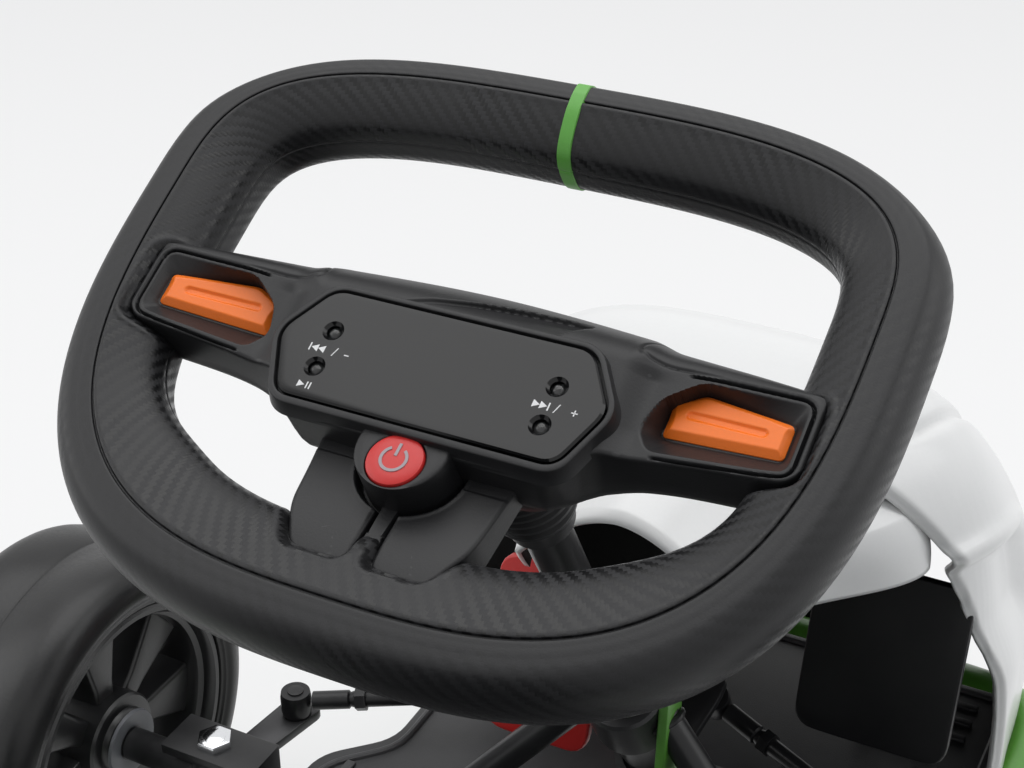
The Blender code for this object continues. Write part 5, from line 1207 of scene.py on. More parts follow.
TUBE = 0.0140
CROSS = 0.0130
HOOP = 0.012
FRAME_Z = 0.082
RAIL_X = 0.150
FRONT_AXLE_Y, REAR_AXLE_Y = -0.240, 0.420
FRONT_RADIUS, REAR_RADIUS = 0.105, 0.115


def frame_route():
    half = [(RAIL_X, 0.470), (RAIL_X, -0.060), (0.118, -0.130), (0.118, -0.370), (0.158, -0.430), (0.158, -0.520)]
    return soften([(x, y, FRAME_Z) for x, y in both(half)], 0.045, 9, closed=False)


def weld(bm, centre, direction, radius):
    """A bead of weld round a tube's end."""
    place = towards(centre, direction)
    ring = [place @ Vector((x, y, 0)) for x, y in circle(radius, steps=40)]
    pipe(bm, ring, 0.0019, 8, closed=True)


def cross_tube(bm, y, reach, weld_x):
    """A tube across the frame, with welds where it meets the rails."""
    pipe(bm, [(-reach, y, FRAME_Z), (0, y, FRAME_Z), (reach, y, FRAME_Z)], CROSS, 28)
    for side, _ in SIDES:
        for x in weld_x:
            weld(bm, (side * x, y, FRAME_Z), (1, 0, 0), CROSS)


def make_frame():
    bm = bmesh.new()
    pipe(bm, frame_route(), TUBE, 32)
    for y in (0.050, 0.250, 0.456):
        cross_tube(bm, y, RAIL_X - TUBE * 0.6, [RAIL_X - TUBE])
    cross_tube(bm, FRONT_AXLE_Y, 0.187, [0.133, 0.103])
    hanger = flat_points([(0.398, 0.076), (0.442, 0.076), (0.442, 0.112), (0.432, 0.1345), (0.408, 0.1345),
                          (0.398, 0.112)], 0.006)
    for side, _ in SIDES:
        hoop = [(0.148, 0.0), (0.290, 0.0), (0.290, 0.262), (0.148, 0.262)]
        pipe(bm, soften([(side * x, y, FRAME_Z) for x, y in hoop], 0.045, 10, closed=False), HOOP, 28)
        for y in (0.0, 0.262):
            weld(bm, (side * 0.164, y, FRAME_Z), (1, 0, 0), HOOP)
        # Hanger of the rear axle
        plate(bm, hanger, side * RAIL_X - 0.003, side * RAIL_X + 0.003, 0.0008, 2, side_on(), both_sides=True)
        turn(bm, [(0.0079, -0.0055), (0.0120, -0.0055), (0.0125, -0.0045), (0.0125, 0.0045), (0.0120, 0.0055),
                  (0.0079, 0.0055)], 36, towards((side * RAIL_X, REAR_AXLE_Y, REAR_RADIUS), (1, 0, 0)))
    green = set(bm.faces)
    # Kingpin yokes and the stand of the steering column, in black
    inner, outer = 0.184, 0.240
    low, high = 0.0820, 0.1215
    sheet, foot_z = 0.006, 0.068
    outline = [(inner, foot_z), (inner, high + sheet), (outer, high + sheet), (outer, high), (inner + sheet, high),
               (inner + sheet, low + sheet), (outer, low + sheet), (outer, low), (inner + sheet, foot_z)]
    for side, _ in SIDES:
        stand = Matrix(((side, 0, 0, 0), (0, 0, 1, FRONT_AXLE_Y), (0, 1, 0, 0), (0, 0, 0, 1)))
        plate(bm, outline, -0.014, 0.014, 0.0010, 2, stand, both_sides=True)
    turn(bm, [(0.0145, -0.017), (0.0185, -0.017), (0.0200, -0.0155), (0.0200, 0.0155), (0.0185, 0.017),
              (0.0145, 0.017)], 44, WHEEL @ Matrix.Translation((0, 0, -BEARING_DEPTH)))
    for side, _ in SIDES:
        top, foot = leg_ends(side)
        pipe(bm, [top, top.lerp(foot, 0.5), foot], 0.0080, 24)
        weld(bm, top.lerp(foot, 0.02), foot - top, 0.0082)
    for face in bm.faces:
        if face not in green:
            face.material_index = 1
    black = set(bm.faces)
    # Upright beside the column
    plate(bm, [(-0.292, 0.150), (-0.268, 0.150), (-0.272, 0.232), (-0.288, 0.240)], -0.0245, -0.0195, 0.0008, 2,
          side_on(), both_sides=True)
    for face in bm.faces:
        if face not in black:
            face.material_index = 0
    piece("frame_weldment", bm, [GREEN, SATIN_BLACK], "chassis", "chassis_frame", angle=40)


def make_front_corners():
    for side, label in SIDES:
        centre = Vector((side * 0.215, FRONT_AXLE_Y, FRONT_RADIUS))
        bm = bmesh.new()
        turn(bm, [(0.0079, -0.0160), (0.0125, -0.0160), (0.0130, -0.0150), (0.0130, 0.0150), (0.0125, 0.0160),
                  (0.0079, 0.0160)], 40, Matrix.Translation(centre))
        axle = towards(centre, (side, 0, 0))
        turn(bm, [(0, 0.008), (0.0090, 0.008), (0.0090, 0.0560), (0.0082, 0.0567), (0.0058, 0.0567), (0.0058, 0.1225),
                  (0.0050, 0.1240), (0, 0.1240)], 36, axle)
        arm = flat_points([(side * 0.0066, -0.006), (side * -0.001, -0.069), (side * -0.023, -0.069),
                           (side * -0.011, -0.006)], 0.0066)
        arm_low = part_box(f"tie_rod_{label}")[0][2] - 0.0065
        plate(bm, [(x + centre.x, y + centre.y) for x, y in arm], arm_low, arm_low + 0.0060, 0.0008, 2,
              both_sides=True)
        piece(f"stub_axle_{label}", bm, STEEL_DARK, f"knuckle_{label}", f"steering_knuckle_{label}")
        bm = bmesh.new()
        low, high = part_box(f"kingpin_{label}")
        turn(bm, [(0, low[2]), (0.0052, low[2]), (0.0060, low[2] + 0.0008), (0.0074, low[2] + 0.0012),
                  (0.0074, high[2] - 0.004), (0, high[2] - 0.004)], 36, Matrix.Translation((centre.x, centre.y, 0)))
        bolt(bm, 0.0098, 0.0045, Matrix.Translation((centre.x, centre.y, high[2] - 0.0048)), dome=True)
        bolt(bm, 0.0088, 0.0030, Matrix.Translation((centre.x, centre.y, low[2] - 0.0005)))
        piece(f"kingpin_bolt_{label}", bm, CHROME, "chassis", f"kingpin_{label}")


# Wheels

OUTER_X = 0.352
SPOKES = 7


def make_wheel(name, side, axle_y, radius, width, bore):
    centre = Vector((side * (OUTER_X - width / 2), axle_y, radius))
    axle = Matrix.Translation(centre) @ Matrix.Rotation(side * math.pi / 2, 4, "Y")
    half, rim = width / 2, radius - 0.026
    shoulder = 0.016
    profile = []
    for end in (1, -1):
        arc = []
        for k in range(10):
            angle = math.pi / 2 * k / 9
            arc.append((radius - shoulder + shoulder * math.sin(angle), half - shoulder + shoulder * math.cos(angle)))
        wall = [(rim + 0.0005, half - 0.0055), (rim + 0.0016, half - 0.0030), (rim + 0.0036, half - 0.0026),
                (rim + 0.0042, half - 0.0014), (rim + 0.0066, half - 0.0010), (rim + 0.0072, half - 0.0003)]
        run = wall + arc
        profile += run if end == 1 else [(r, -z) for r, z in reversed(run)]
    # Fine mould line round the middle of the tread
    middle = [(radius, 0.0012), (radius - 0.0004, 0.0008), (radius - 0.0004, -0.0008), (radius, -0.0012)]
    count = len(profile) // 2
    profile = profile[:count] + middle + profile[count:]
    bm = bmesh.new()
    turn(bm, profile + [profile[0]], 144, axle)
    piece(f"{name}_slick", bm, TYRE, name, f"{name}_tyre", angle=50)

    bm = bmesh.new()
    lip = 0.005
    barrel = [
        (rim, half - lip - 0.0005), (rim + 0.0003, half - lip + 0.001), (rim - 0.0012, half - lip + 0.0022),
        (rim - 0.0040, half - lip + 0.0020), (rim - 0.0056, half - lip), (rim - 0.0060, half - 0.0100),
        (rim - 0.0088, half - 0.0118), (rim - 0.0100, half - 0.0150),
    ]
    barrel += [(rim - 0.0095, 0.0)] + [(r, -z) for r, z in reversed(barrel)]
    turn(bm, barrel + [barrel[0]], 120, axle)
    face = half - lip - 0.012
    back = half - lip
    hub = [
        (bore, face), (0.0125, face), (0.0135, face - 0.002), (0.0170, face - 0.002), (0.0185, face - 0.0005),
        (0.0235, face - 0.0010), (0.0250, face - 0.0030), (0.0258, face - 0.0120), (0.0250, 0.0),
        (0.0262, -back + 0.020), (0.0262, -back + 0.0075), (0.0250, -back + 0.0060), (0.0190, -back + 0.0055),
        (0.0180, -back + 0.0030), (0.0150, -back + 0.0010), (0.0140, -back), (bore, -back),
    ]
    turn(bm, hub + [hub[0]], 64, axle)
    # Seven spokes on the outside, and seven wider vanes behind them
    reach = rim - 0.0085
    spoke = [(0.019, 0.0088), (0.032, 0.0074), (reach - 0.012, 0.0060), (reach, 0.0105)]
    crest = [(0.024, 0.0024), (reach - 0.002, 0.0017)]
    vane = [(0.020, 0.0068), (0.034, 0.0078), (reach - 0.004, 0.0150), (reach, 0.0185)]
    spoke, crest, vane = (half_line + [(x, -y) for x, y in reversed(half_line)] for half_line in (spoke, crest, vane))
    for k in range(SPOKES):
        turned = axle @ Matrix.Rotation(2 * math.pi * (k + 0.5) / SPOKES, 4, "Z")
        plate(bm, spoke, face - 0.0145, face - 0.0022, 0.0022, 3, turned)
        plate(bm, crest, face - 0.004, face - 0.0006, 0.0009, 2, turned)
        plate(bm, vane, back - 0.034, back - 0.0135, 0.0025, 3, turned @ Matrix.Rotation(math.pi, 4, "X"))
    piece(f"{name}_wheel", bm, HUB, name, f"{name}_rim", angle=35)

    bm = bmesh.new()
    low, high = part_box(f"{name}_axle_nut")
    start = abs(low[0] if side > 0 else high[0]) - (OUTER_X - half)
    place = axle @ Matrix.Translation((0, 0, start))
    turn(bm, [(bore, 0.0), (0.0102, 0.0), (0.0102, 0.0012), (bore, 0.0012)], 40, place)
    bolt(bm, 0.0098, 0.0070, place @ Matrix.Translation((0, 0, 0.0012)))
    turn(bm, [(0, 0.0076), (0.0042, 0.0076), (0.0052, 0.0070), (0.0052, 0.0098), (0.0046, 0.0103), (0, 0.0103)], 24,
         place)
    piece(f"{name}_nut", bm, GREY_NUT, name, f"{name}_axle_nut")
    # Bearing and its seal in the hub's inner end
    bm = bmesh.new()
    place = axle @ Matrix.Translation((0, 0, -back)) @ Matrix.Rotation(math.pi, 4, "X")
    inner = 0.0096 if bore < 0.007 else 0.0145
    turn(bm, [(inner, 0.0), (inner + 0.0015, 0.0006), (0.0185, 0.0006), (0.0192, -0.0010), (inner, -0.0010)], 40,
         place)
    piece(f"{name}_seal", bm, GREY_NUT, name, ())


# Body panels

# The cowl's half width and top at places along the kart
COWL_STATIONS = [(-0.5695, 0.120, 0.170), (-0.545, 0.137, 0.216), (-0.515, 0.147, 0.262), (-0.460, 0.152, 0.318),
                 (-0.400, 0.152, 0.350), (-0.335, 0.118, 0.348), (-0.270, 0.084, 0.336)]


COWL_ROUTE = through(COWL_STATIONS, 10)
COWL_FRONT, COWL_FOOT = -0.5695, 0.1005
# Power of the rounded square that the cowl's section follows
COWL_POWER = 2 / 3.2


def cowl_section(y):
    """Half width and top of the cowl at y."""
    for low, high in zip(COWL_ROUTE, COWL_ROUTE[1:]):
        if y <= high.x:
            return low.lerp(high, (y - low.x) / (high.x - low.x))[1:]
    return COWL_ROUTE[-1][1:]


def cowl_point(along, across):
    rear = -0.318 - 0.102 * abs(across) ** 1.5
    y = COWL_FRONT + (rear - COWL_FRONT) * along
    half, top = cowl_section(y)
    angle = across * math.pi / 2
    x = half * math.copysign(abs(math.sin(angle)) ** COWL_POWER, angle)
    z = COWL_FOOT + (top - COWL_FOOT) * abs(math.cos(angle)) ** COWL_POWER
    return Vector((x, y, z))


def cowl_relief(along, across):
    """How far the cowl's skin is pressed in at a place."""
    s = abs(across)
    rise = smooth(along, 0.45, 0.62)
    ridge = 0.0032 * bell(s - 0.640, 0.020)
    valley = 0.0100 * smooth(s, 0.655, 0.700) * (1 - smooth(s, 0.80, 0.90))
    side = (valley - ridge) * rise * smooth(s, 0.50, 0.60)
    brow = 0.0040 * bell(along - 0.30, 0.018) * (1 - smooth(s, 0.45, 0.60))
    vents = sum(0.0045 * bell(along - place, 0.012, 4) for place in (0.075, 0.125, 0.175))
    vents *= 1 - smooth(s, 0.30, 0.36)
    channel = 0.0035 * bell(s - 0.36, 0.016) * smooth(along, 0.30, 0.42) * (1 - smooth(along, 0.80, 0.92))
    return side + brow + vents + channel


def thicken(shell, thickness, outer_face):
    """Gives a sheet an inner wall of this thickness in its second finish, painted shade in near-black, on the far
    side of a face that shows.
    """
    wall = shell.modifiers.new("wall", "SOLIDIFY")
    wall.thickness = thickness
    wall.offset = -1 if outer_face.normal.z > 0 else 1
    wall.use_rim = True
    wall.material_offset = 1
    wall.material_offset_rim = 0


def make_cowl():
    def point(along, across):
        across = across * 2 - 1
        step = 0.002
        here = cowl_point(along, across)
        run = cowl_point(min(1, along + step), across) - cowl_point(max(0, along - step), across)
        turn_by = cowl_point(along, min(1, across + step)) - cowl_point(along, max(-1, across - step))
        out = turn_by.cross(run)
        out = out.normalized() if out.length > 1e-9 else Vector((0, 0, 1))
        if out.dot(here - Vector((0, here.y, 0.12))) < 0:
            out.negate()
        rolled = 0.004 * smooth(along, 0.965, 1.0) ** 2
        return here - out * (cowl_relief(along, across) + rolled)

    bm = bmesh.new()
    skin(bm, point, 170, 220)
    # The cowl's underside gets the near-black finish: painted shade in the hollow under the white body
    cowl = piece("front_body", bm, [WHITE, SHADE_BLACK], "chassis", "front_cowl", angle=70)
    thicken(cowl, 0.0032, cowl.data.polygons[len(cowl.data.polygons) // 2])


def make_column_cover():
    """The white arch that runs from the body over the column, painted near-black inside as shade."""
    lip_y, root_y = -0.262, -0.372
    rows, columns, fold = 60, 90, 0.62

    def point(along, across):
        y = lerp(root_y, lip_y, along)
        s = abs(across * 2 - 1)
        half = lerp(0.104, 0.050, smooth(along, 0.0, 1.0))
        crown = lerp(0.3465, 0.322, along ** 1.3)
        shoulder = crown - lerp(0.050, 0.030, along)
        if s < fold:
            t = s / fold
            x, z = half * t, lerp(crown, shoulder, t ** 1.8)
        else:
            t = (s - fold) / (1 - fold)
            x = half + 0.010 * math.sin(t * math.pi / 2)
            z = lerp(shoulder, 0.262, t ** 1.3)
            y -= 0.030 * t * along
        z -= 0.004 * smooth(along, 0.955, 1.0) ** 2
        return Vector((math.copysign(x, across - 0.5), y, z))

    bm = bmesh.new()
    skin(bm, point, rows, columns)
    # Its underside gets the near-black finish as painted shade
    cover = piece("column_cover", bm, [WHITE, SHADE_BLACK], "chassis", (), angle=70)
    thicken(cover, 0.0028, max(cover.data.polygons, key=lambda polygon: polygon.center.z))
    # Near-black sheet of painted shade that closes the arch in front of the column
    bm = bmesh.new()

    def shade_sheet(along, across):
        angle = math.pi * across
        return Vector((0.046 * math.cos(angle), -0.300 - 0.022 * math.sin(angle), lerp(0.232, 0.300, along)))

    skin(bm, shade_sheet, 20, 40)
    bmesh.ops.solidify(bm, geom=list(bm.faces), thickness=0.0020)
    piece("column_shade_sheet", bm, SHADE_BLACK, "chassis", (), angle=60)


def rib_rows(bm, x_values, low_y, high_y, z, width, height):
    for x in x_values:
        brick(bm, (width, high_y - low_y, height), (x, (low_y + high_y) / 2, z + height / 2 - 0.0002),
              height * 0.35, 2)


def make_deck():
    top = 0.1000
    half = [(0.150, -0.500), (0.150, -0.313), (0.180, -0.283), (0.180, -0.055), (0.140, 0.025)]
    outline = flat_points(both(half), 0.012)
    bm = bmesh.new()
    plate(bm, outline, 0.0965, top, 0.0012, 3)
    panel = piece("deck_panel", bm, DECK, "chassis", "footwell_deck", angle=35)
    hole = bmesh.new()
    plate(hole, flat_points([(0.030, -0.372), (0.030, -0.294), (-0.030, -0.294), (-0.030, -0.372)], 0.008), 0.080,
          0.120)
    shapes = [cutter(hole)]
    for side, _ in SIDES:
        gap = bmesh.new()
        start, foot = leg_ends(side)
        pipe(gap, [start, start.lerp(foot, 0.5), foot + (foot - start) * 0.1], 0.0110, 24)
        shapes.append(cutter(gap))
    carve(panel, shapes)
    set_shading(panel.data, 35, rounded=False)
    bm = bmesh.new()
    # Grip ribs of the heel area and a raised border
    rib_rows(bm, [k * 0.018 for k in range(-8, 9)], -0.205, -0.020, top, 0.0055, 0.0022)
    for side, _ in SIDES:
        rib_rows(bm, [side * (0.052 + k * 0.018) for k in range(7)], -0.285, -0.225, top, 0.0055, 0.0022)
        for y in (-0.480, -0.466, -0.452):
            brick(bm, (0.080, 0.005, 0.0022), (side * 0.090, y, top + 0.0009), 0.0008, 2)
    edge = spaced(outline, 260)
    border = [(x * 0.957, y + (0.006 if y < -0.2 else -0.005), top + 0.0002) for x, y in edge]
    pipe(bm, border, 0.0022, 10, closed=True)
    piece("deck_ribs", bm, DECK, "chassis", (), angle=35)


def make_bumpers():
    bm = bmesh.new()
    brick(bm, (0.2090, 0.0300, 0.0360), (0, -0.5493, 0.0820), 0.0070, 4)
    for k in range(-4, 5):
        brick(bm, (0.0125, 0.0045, 0.0200), (k * 0.0205, -0.5638, 0.0820), 0.0018, 3)
    piece("nose_grille", bm, BLACK, "chassis", "front_bumper")
    bm = bmesh.new()
    half = [(0.150, 0.4705, 0.082), (0.150, 0.557, 0.082), (0.150, 0.557, 0.150)]
    route = soften(half + [(-x, y, z) for x, y, z in reversed(half)], 0.036, 9, closed=False)
    pipe(bm, route, 0.0125, 28)
    for side, _ in SIDES:
        turn(bm, [(0.0100, 0.0), (0.0133, 0.0), (0.0133, 0.020), (0.0126, 0.0215), (0.0100, 0.0215)], 32,
             towards((side * 0.150, 0.4708, 0.082), (0, 1, 0)))
    brick(bm, (0.150, 0.0245, 0.0270), (0, 0.5560, 0.1500), 0.0085, 4)
    piece("tail_bar", bm, SATIN_BLACK, "chassis", "rear_bumper", angle=40)


# Pedals

def make_pedal(label, body, x, width, pad_y, pivot_y, low, high, finish_of):
    """A ribbed pad on a bent arm, and the hinge that carries it."""
    lean, thickness, pivot_z = math.radians(13), 0.008, 0.122
    height = (high - low) / math.cos(lean)
    middle = Vector((x, pad_y, (high + low) / 2))
    place = Matrix.Translation(middle) @ Matrix.Rotation(math.pi / 2 + lean, 4, "X")
    outline = flat_points([(width / 2, height / 2), (width / 2, -height / 2), (-width / 2, -height / 2),
                           (-width / 2, height / 2)], 0.012)
    bm = bmesh.new()
    plate(bm, outline, -thickness / 2, thickness / 2 - 0.0014, 0.0014, 3, place, both_sides=True)
    ribs = 6
    for k in range(ribs):
        at = (k - (ribs - 1) / 2) * height * 0.135
        for face in (-1, 1):
            brick(bm, (width * 0.74, height * 0.050, 0.0020), (0, at, face * (thickness / 2 - 0.0012)), 0.0008, 2,
                  place)
    bar = 0.010
    elbow = pivot_z + (middle.z - pivot_z) * 0.75
    side_view = [(pivot_y - bar / 2, pivot_z), (pivot_y - bar / 2, elbow + bar / 2), (pad_y, middle.z + bar / 2),
                 (pad_y, middle.z - bar / 2), (pivot_y + bar / 2, elbow - bar / 2), (pivot_y + bar / 2, pivot_z)]
    stand = side_on(x)
    plate(bm, side_view, -0.006, 0.006, 0.0015, 3, stand, both_sides=True)
    barrel = towards((x, pivot_y, pivot_z), (1, 0, 0))
    turn(bm, [(0.0045, -0.013), (0.0074, -0.013), (0.0080, -0.012), (0.0080, 0.012), (0.0074, 0.013),
              (0.0045, 0.013)], 36, barrel)
    piece(f"{body}_pad", bm, finish_of, body, label, angle=35)
    bm = bmesh.new()
    ear, sheet = 0.0163, 0.0025
    brick(bm, (2 * ear + sheet, 0.016, sheet), (x, pivot_y, 0.1015), 0.0006, 2)
    outline = flat_points([(-0.0078, 0.1003), (0.0078, 0.1003), (0.0078, 0.1235), (0.0045, 0.1282),
                           (-0.0045, 0.1282), (-0.0078, 0.1235)], 0.003)
    outline = [(pivot_y + y, z) for y, z in outline]
    for side, _ in SIDES:
        plate(bm, outline, side * ear - sheet / 2, side * ear + sheet / 2, 0.0005, 2, stand, both_sides=True)
        bolt(bm, 0.0052, 0.0020, barrel @ Matrix.Rotation(0 if side > 0 else math.pi, 4, "Y")
             @ Matrix.Translation((0, 0, ear + sheet / 2 - 0.0015)), dome=True)
    turn(bm, [(0, -ear - 0.001), (0.0038, -ear - 0.001), (0.0038, ear + 0.001), (0, ear + 0.001)], 28, barrel)
    piece(f"{body}_hinge", bm, STEEL, "chassis", f"{label}_bracket")


# Seat

# Along the seat: share of its length, y and z of its middle, half width, and how far its edges rise and come forward
SEAT_ROWS = [(0.00, -0.005, 0.148, 0.145, 0.020, 0.000), (0.06, 0.015, 0.156, 0.150, 0.030, 0.000),
             (0.18, 0.085, 0.140, 0.155, 0.055, 0.000), (0.34, 0.180, 0.132, 0.158, 0.080, 0.010),
             (0.46, 0.245, 0.146, 0.158, 0.085, 0.035), (0.54, 0.278, 0.185, 0.156, 0.070, 0.060),
             (0.66, 0.303, 0.265, 0.154, 0.030, 0.075), (0.80, 0.330, 0.375, 0.150, 0.005, 0.075),
             (0.92, 0.362, 0.490, 0.130, -0.010, 0.055), (1.00, 0.385, 0.575, 0.085, -0.020, 0.020)]


def seat_point(along, across):
    index = next(k for k, row in enumerate(SEAT_ROWS[1:]) if along <= row[0])
    low, high = SEAT_ROWS[index], SEAT_ROWS[index + 1]
    before, after = SEAT_ROWS[max(0, index - 1)], SEAT_ROWS[min(len(SEAT_ROWS) - 1, index + 2)]
    t = (along - low[0]) / (high[0] - low[0])
    y, z, half, lift, forward = (
        curve_between(*four, t) for four in zip(before[1:], low[1:], high[1:], after[1:]))
    edge = abs(across) ** 3
    x = min(half, 0.1585) * across * (1 - 0.06 * edge)
    return Vector((x, y - forward * edge, z + lift * edge))


def make_seat():
    def point(along, across):
        across = across * 2 - 1
        here = seat_point(along, across)
        flutes = 0.0016 * (0.5 - 0.5 * math.cos(across * math.pi * 7)) * (1 - smooth(abs(across), 0.62, 0.72))
        flutes *= smooth(along, 0.05, 0.12) * (1 - smooth(along, 0.42, 0.47)) + smooth(along, 0.57, 0.62) * (
            1 - smooth(along, 0.90, 0.95))
        lean = smooth(along, 0.40, 0.55)
        return here + Vector((0, -flutes * lean, flutes * (1 - lean)))

    bm = bmesh.new()
    skin(bm, point, 140, 110)
    bmesh.ops.recalc_face_normals(bm, faces=bm.faces)
    bmesh.ops.solidify(bm, geom=list(bm.faces), thickness=0.0035)
    rim = [seat_point(0.0, -1 + 2 * k / 40) for k in range(41)]
    rim += [seat_point(k / 90, 1.0) for k in range(1, 91)]
    rim += [seat_point(1.0, 1 - 2 * k / 40) for k in range(1, 41)]
    rim += [seat_point(1 - k / 90, -1.0) for k in range(1, 90)]
    pipe(bm, rim, 0.0042, 12, closed=True)
    for side, _ in SIDES:
        brick(bm, (0.020, 0.100, 0.0300), (side * 0.090, 0.165, 0.1240), 0.003, 3)
        for y in (0.135, 0.195):
            bolt(bm, 0.0058, 0.0036, towards((side * 0.1000, y, 0.1160), (side, 0, 0)), dome=True)
    piece("bucket_seat", bm, SEAT, "seat", "seat_shell", angle=50)
    channel = flat_points([(-0.010, 0.096), (0.010, 0.096), (0.010, 0.108), (0.0045, 0.108), (0.0045, 0.1055),
                           (0.0075, 0.1055), (0.0075, 0.0985), (-0.0075, 0.0985), (-0.0075, 0.1055),
                           (-0.0045, 0.1055), (-0.0045, 0.108), (-0.010, 0.108)], 0.0007, 2)
    for side, label in SIDES:
        bm = bmesh.new()
        stand = Matrix(((1, 0, 0, side * 0.090), (0, 0, 1, 0), (0, 1, 0, 0), (0, 0, 0, 1)))
        plate(bm, channel, 0.030, 0.290, 0.0, 1, stand)
        for y in (0.050, 0.250):
            bolt(bm, 0.0046, 0.0030, Matrix.Translation((side * 0.090, y, 0.0985)), dome=True)
        piece(f"slide_rail_{label}", bm, STEEL, "chassis", f"seat_rail_{label}")


# Drive and battery

def make_drive():
    case_x = 0.1813
    outline = flat_points([(-0.0620, -0.0300), (-0.0200, -0.0370), (0.0300, -0.0370), (0.0620, -0.0250),
                           (0.0620, 0.0250), (0.0300, 0.0370), (-0.0350, 0.0370), (-0.0620, 0.0340)], 0.016)
    flange = [Vector((x * 0.995, y * 0.995, 0.0)) for x, y in spaced(anticlockwise(outline), 120)]
    for side, label in SIDES:
        bm = bmesh.new()
        stand = side_on(side * case_x, 0.398, REAR_RADIUS)
        plate(bm, outline, -0.0170, 0.0170, 0.0030, 4, stand, both_sides=True)
        pipe(bm, [stand @ spot for spot in flange], 0.0014, 8, closed=True)
        for y, z in ((-0.050, -0.022), (-0.050, 0.026), (0.050, -0.018), (0.050, 0.018), (0.0, 0.031), (0.0, -0.031)):
            for face in (1, -1):
                bolt(bm, 0.0034, 0.0012, stand @ Matrix.Translation((y, z, face * 0.0165))
                     @ Matrix.Rotation(0 if face > 0 else math.pi, 4, "X"))
        case = piece(f"gearbox_case_{label}", bm, BLACK, "chassis", f"gearbox_{label}")
        # Chamber of the gear and the axle's bores
        shapes = []
        for radius, low, high in ((0.0310, -0.0145, 0.0145), (0.0146, 0.0, 0.0300), (0.0080, -0.0300, 0.0)):
            bm = bmesh.new()
            turn(bm, [(0, low), (radius, low), (radius, high), (0, high)], 48,
                 towards((side * case_x, REAR_AXLE_Y, REAR_RADIUS), (side, 0, 0)))
            shapes.append(cutter(bm))
        carve(case, shapes)
        set_shading(case.data, 32, rounded=False)
        bm = bmesh.new()
        place = towards((side * 0.164, 0.366, 0.136), (-side, 0, 0))
        turn(bm, [(0, 0.0), (0.0165, 0.0), (0.0180, 0.0012), (0.0180, 0.0090), (0.0174, 0.0096), (0.0180, 0.0102),
                  (0.0180, 0.0480), (0.0172, 0.0500), (0.0120, 0.0510), (0.0070, 0.0512), (0.0070, 0.0555),
                  (0, 0.0558)], 48, place)
        for y in (-0.0125, 0.0125):
            brick(bm, (0.0060, 0.0012, 0.0050), (0, y, 0.0526), 0.0004, 1, place)
        piece(f"motor_can_{label}", bm, CAST, "chassis", f"drive_motor_{label}")
        dress(f"drive_gear_{label}", STEEL, 0.0004, 2, 30)
    bm = bmesh.new()
    place = towards((0, REAR_AXLE_Y, REAR_RADIUS), (1, 0, 0))
    turn(bm, [(0, -0.340), (0.0068, -0.340), (0.0075, -0.3392), (0.0075, -0.100), (0.0073, -0.0995), (0.0073, 0.0995),
              (0.0075, 0.100), (0.0075, 0.3392), (0.0068, 0.340), (0, 0.340)], 40, place)
    piece("axle_shaft", bm, STEEL, "chassis", "rear_axle")


def make_battery():
    bm = bmesh.new()
    middle = 0.4525
    wall = 0.003
    floor, top = 0.130, 0.229
    corners = [(0.120, 0.390), (0.120, 0.515), (-0.120, 0.515), (-0.120, 0.390)]
    outer = anticlockwise(spaced(flat_points(corners, 0.012), 160))
    inner = grown(outer, -wall)
    levels = [(0.0, floor + wall), (0.0, top), (0.5, top), (1.0, top - 0.0010), (1.0, floor + 0.004), (0.6, floor)]
    rings = [[bm.verts.new((*Vector(near).lerp(Vector(far), share), z)) for near, far in zip(inner, outer)]
             for share, z in levels]
    for low, high in zip(rings, rings[1:]):
        edges = []
        for row in (low, high):
            edges += [bm.edges.get(pair) or bm.edges.new(pair) for pair in zip(row, row[1:] + row[:1])]
        bmesh.ops.bridge_loops(bm, edges=edges)
    bm.faces.new(rings[0])
    bm.faces.new(rings[-1])
    for k in range(-4, 5):
        for y in (0.3895, 0.5155):
            brick(bm, (0.006, 0.0026, 0.076), (k * 0.024, y, 0.178), 0.0010, 2)
    for side, _ in SIDES:
        brick(bm, (0.030, 0.016, 0.038), (side * 0.060, 0.456, 0.1145), 0.0015, 2)
    piece("battery_tray", bm, BLACK, "chassis", "battery_box")
    bm = bmesh.new()
    for row in range(3):
        for column in range(6):
            x, y = (column - 2.5) * 0.0375, middle + (row - 1) * 0.0375
            turn(bm, [(0, 0.1335), (0.0172, 0.1335), (0.0180, 0.1342), (0.0180, 0.2145), (0.0172, 0.2155),
                      (0.0090, 0.2158), (0.0090, 0.2175), (0, 0.2180)], 32, Matrix.Translation((x, y, 0)))
    piece("cell_pack", bm, CELLS, "chassis", "battery_cells")
    bm = bmesh.new()
    lid = flat_points([(0.125, 0.385), (0.125, 0.520), (-0.125, 0.520), (-0.125, 0.385)], 0.014)
    plate(bm, lid, 0.2303, 0.2455, 0.0050, 4)
    for k in range(-3, 4):
        brick(bm, (0.0080, 0.0900, 0.0034), (k * 0.028, middle, 0.2464), 0.0014, 3)
    for side, _ in SIDES:
        brick(bm, (0.0080, 0.0300, 0.0140), (side * 0.1215, middle, 0.2375), 0.0020, 3)
    piece("battery_cover", bm, DECK, "chassis", "battery_lid")


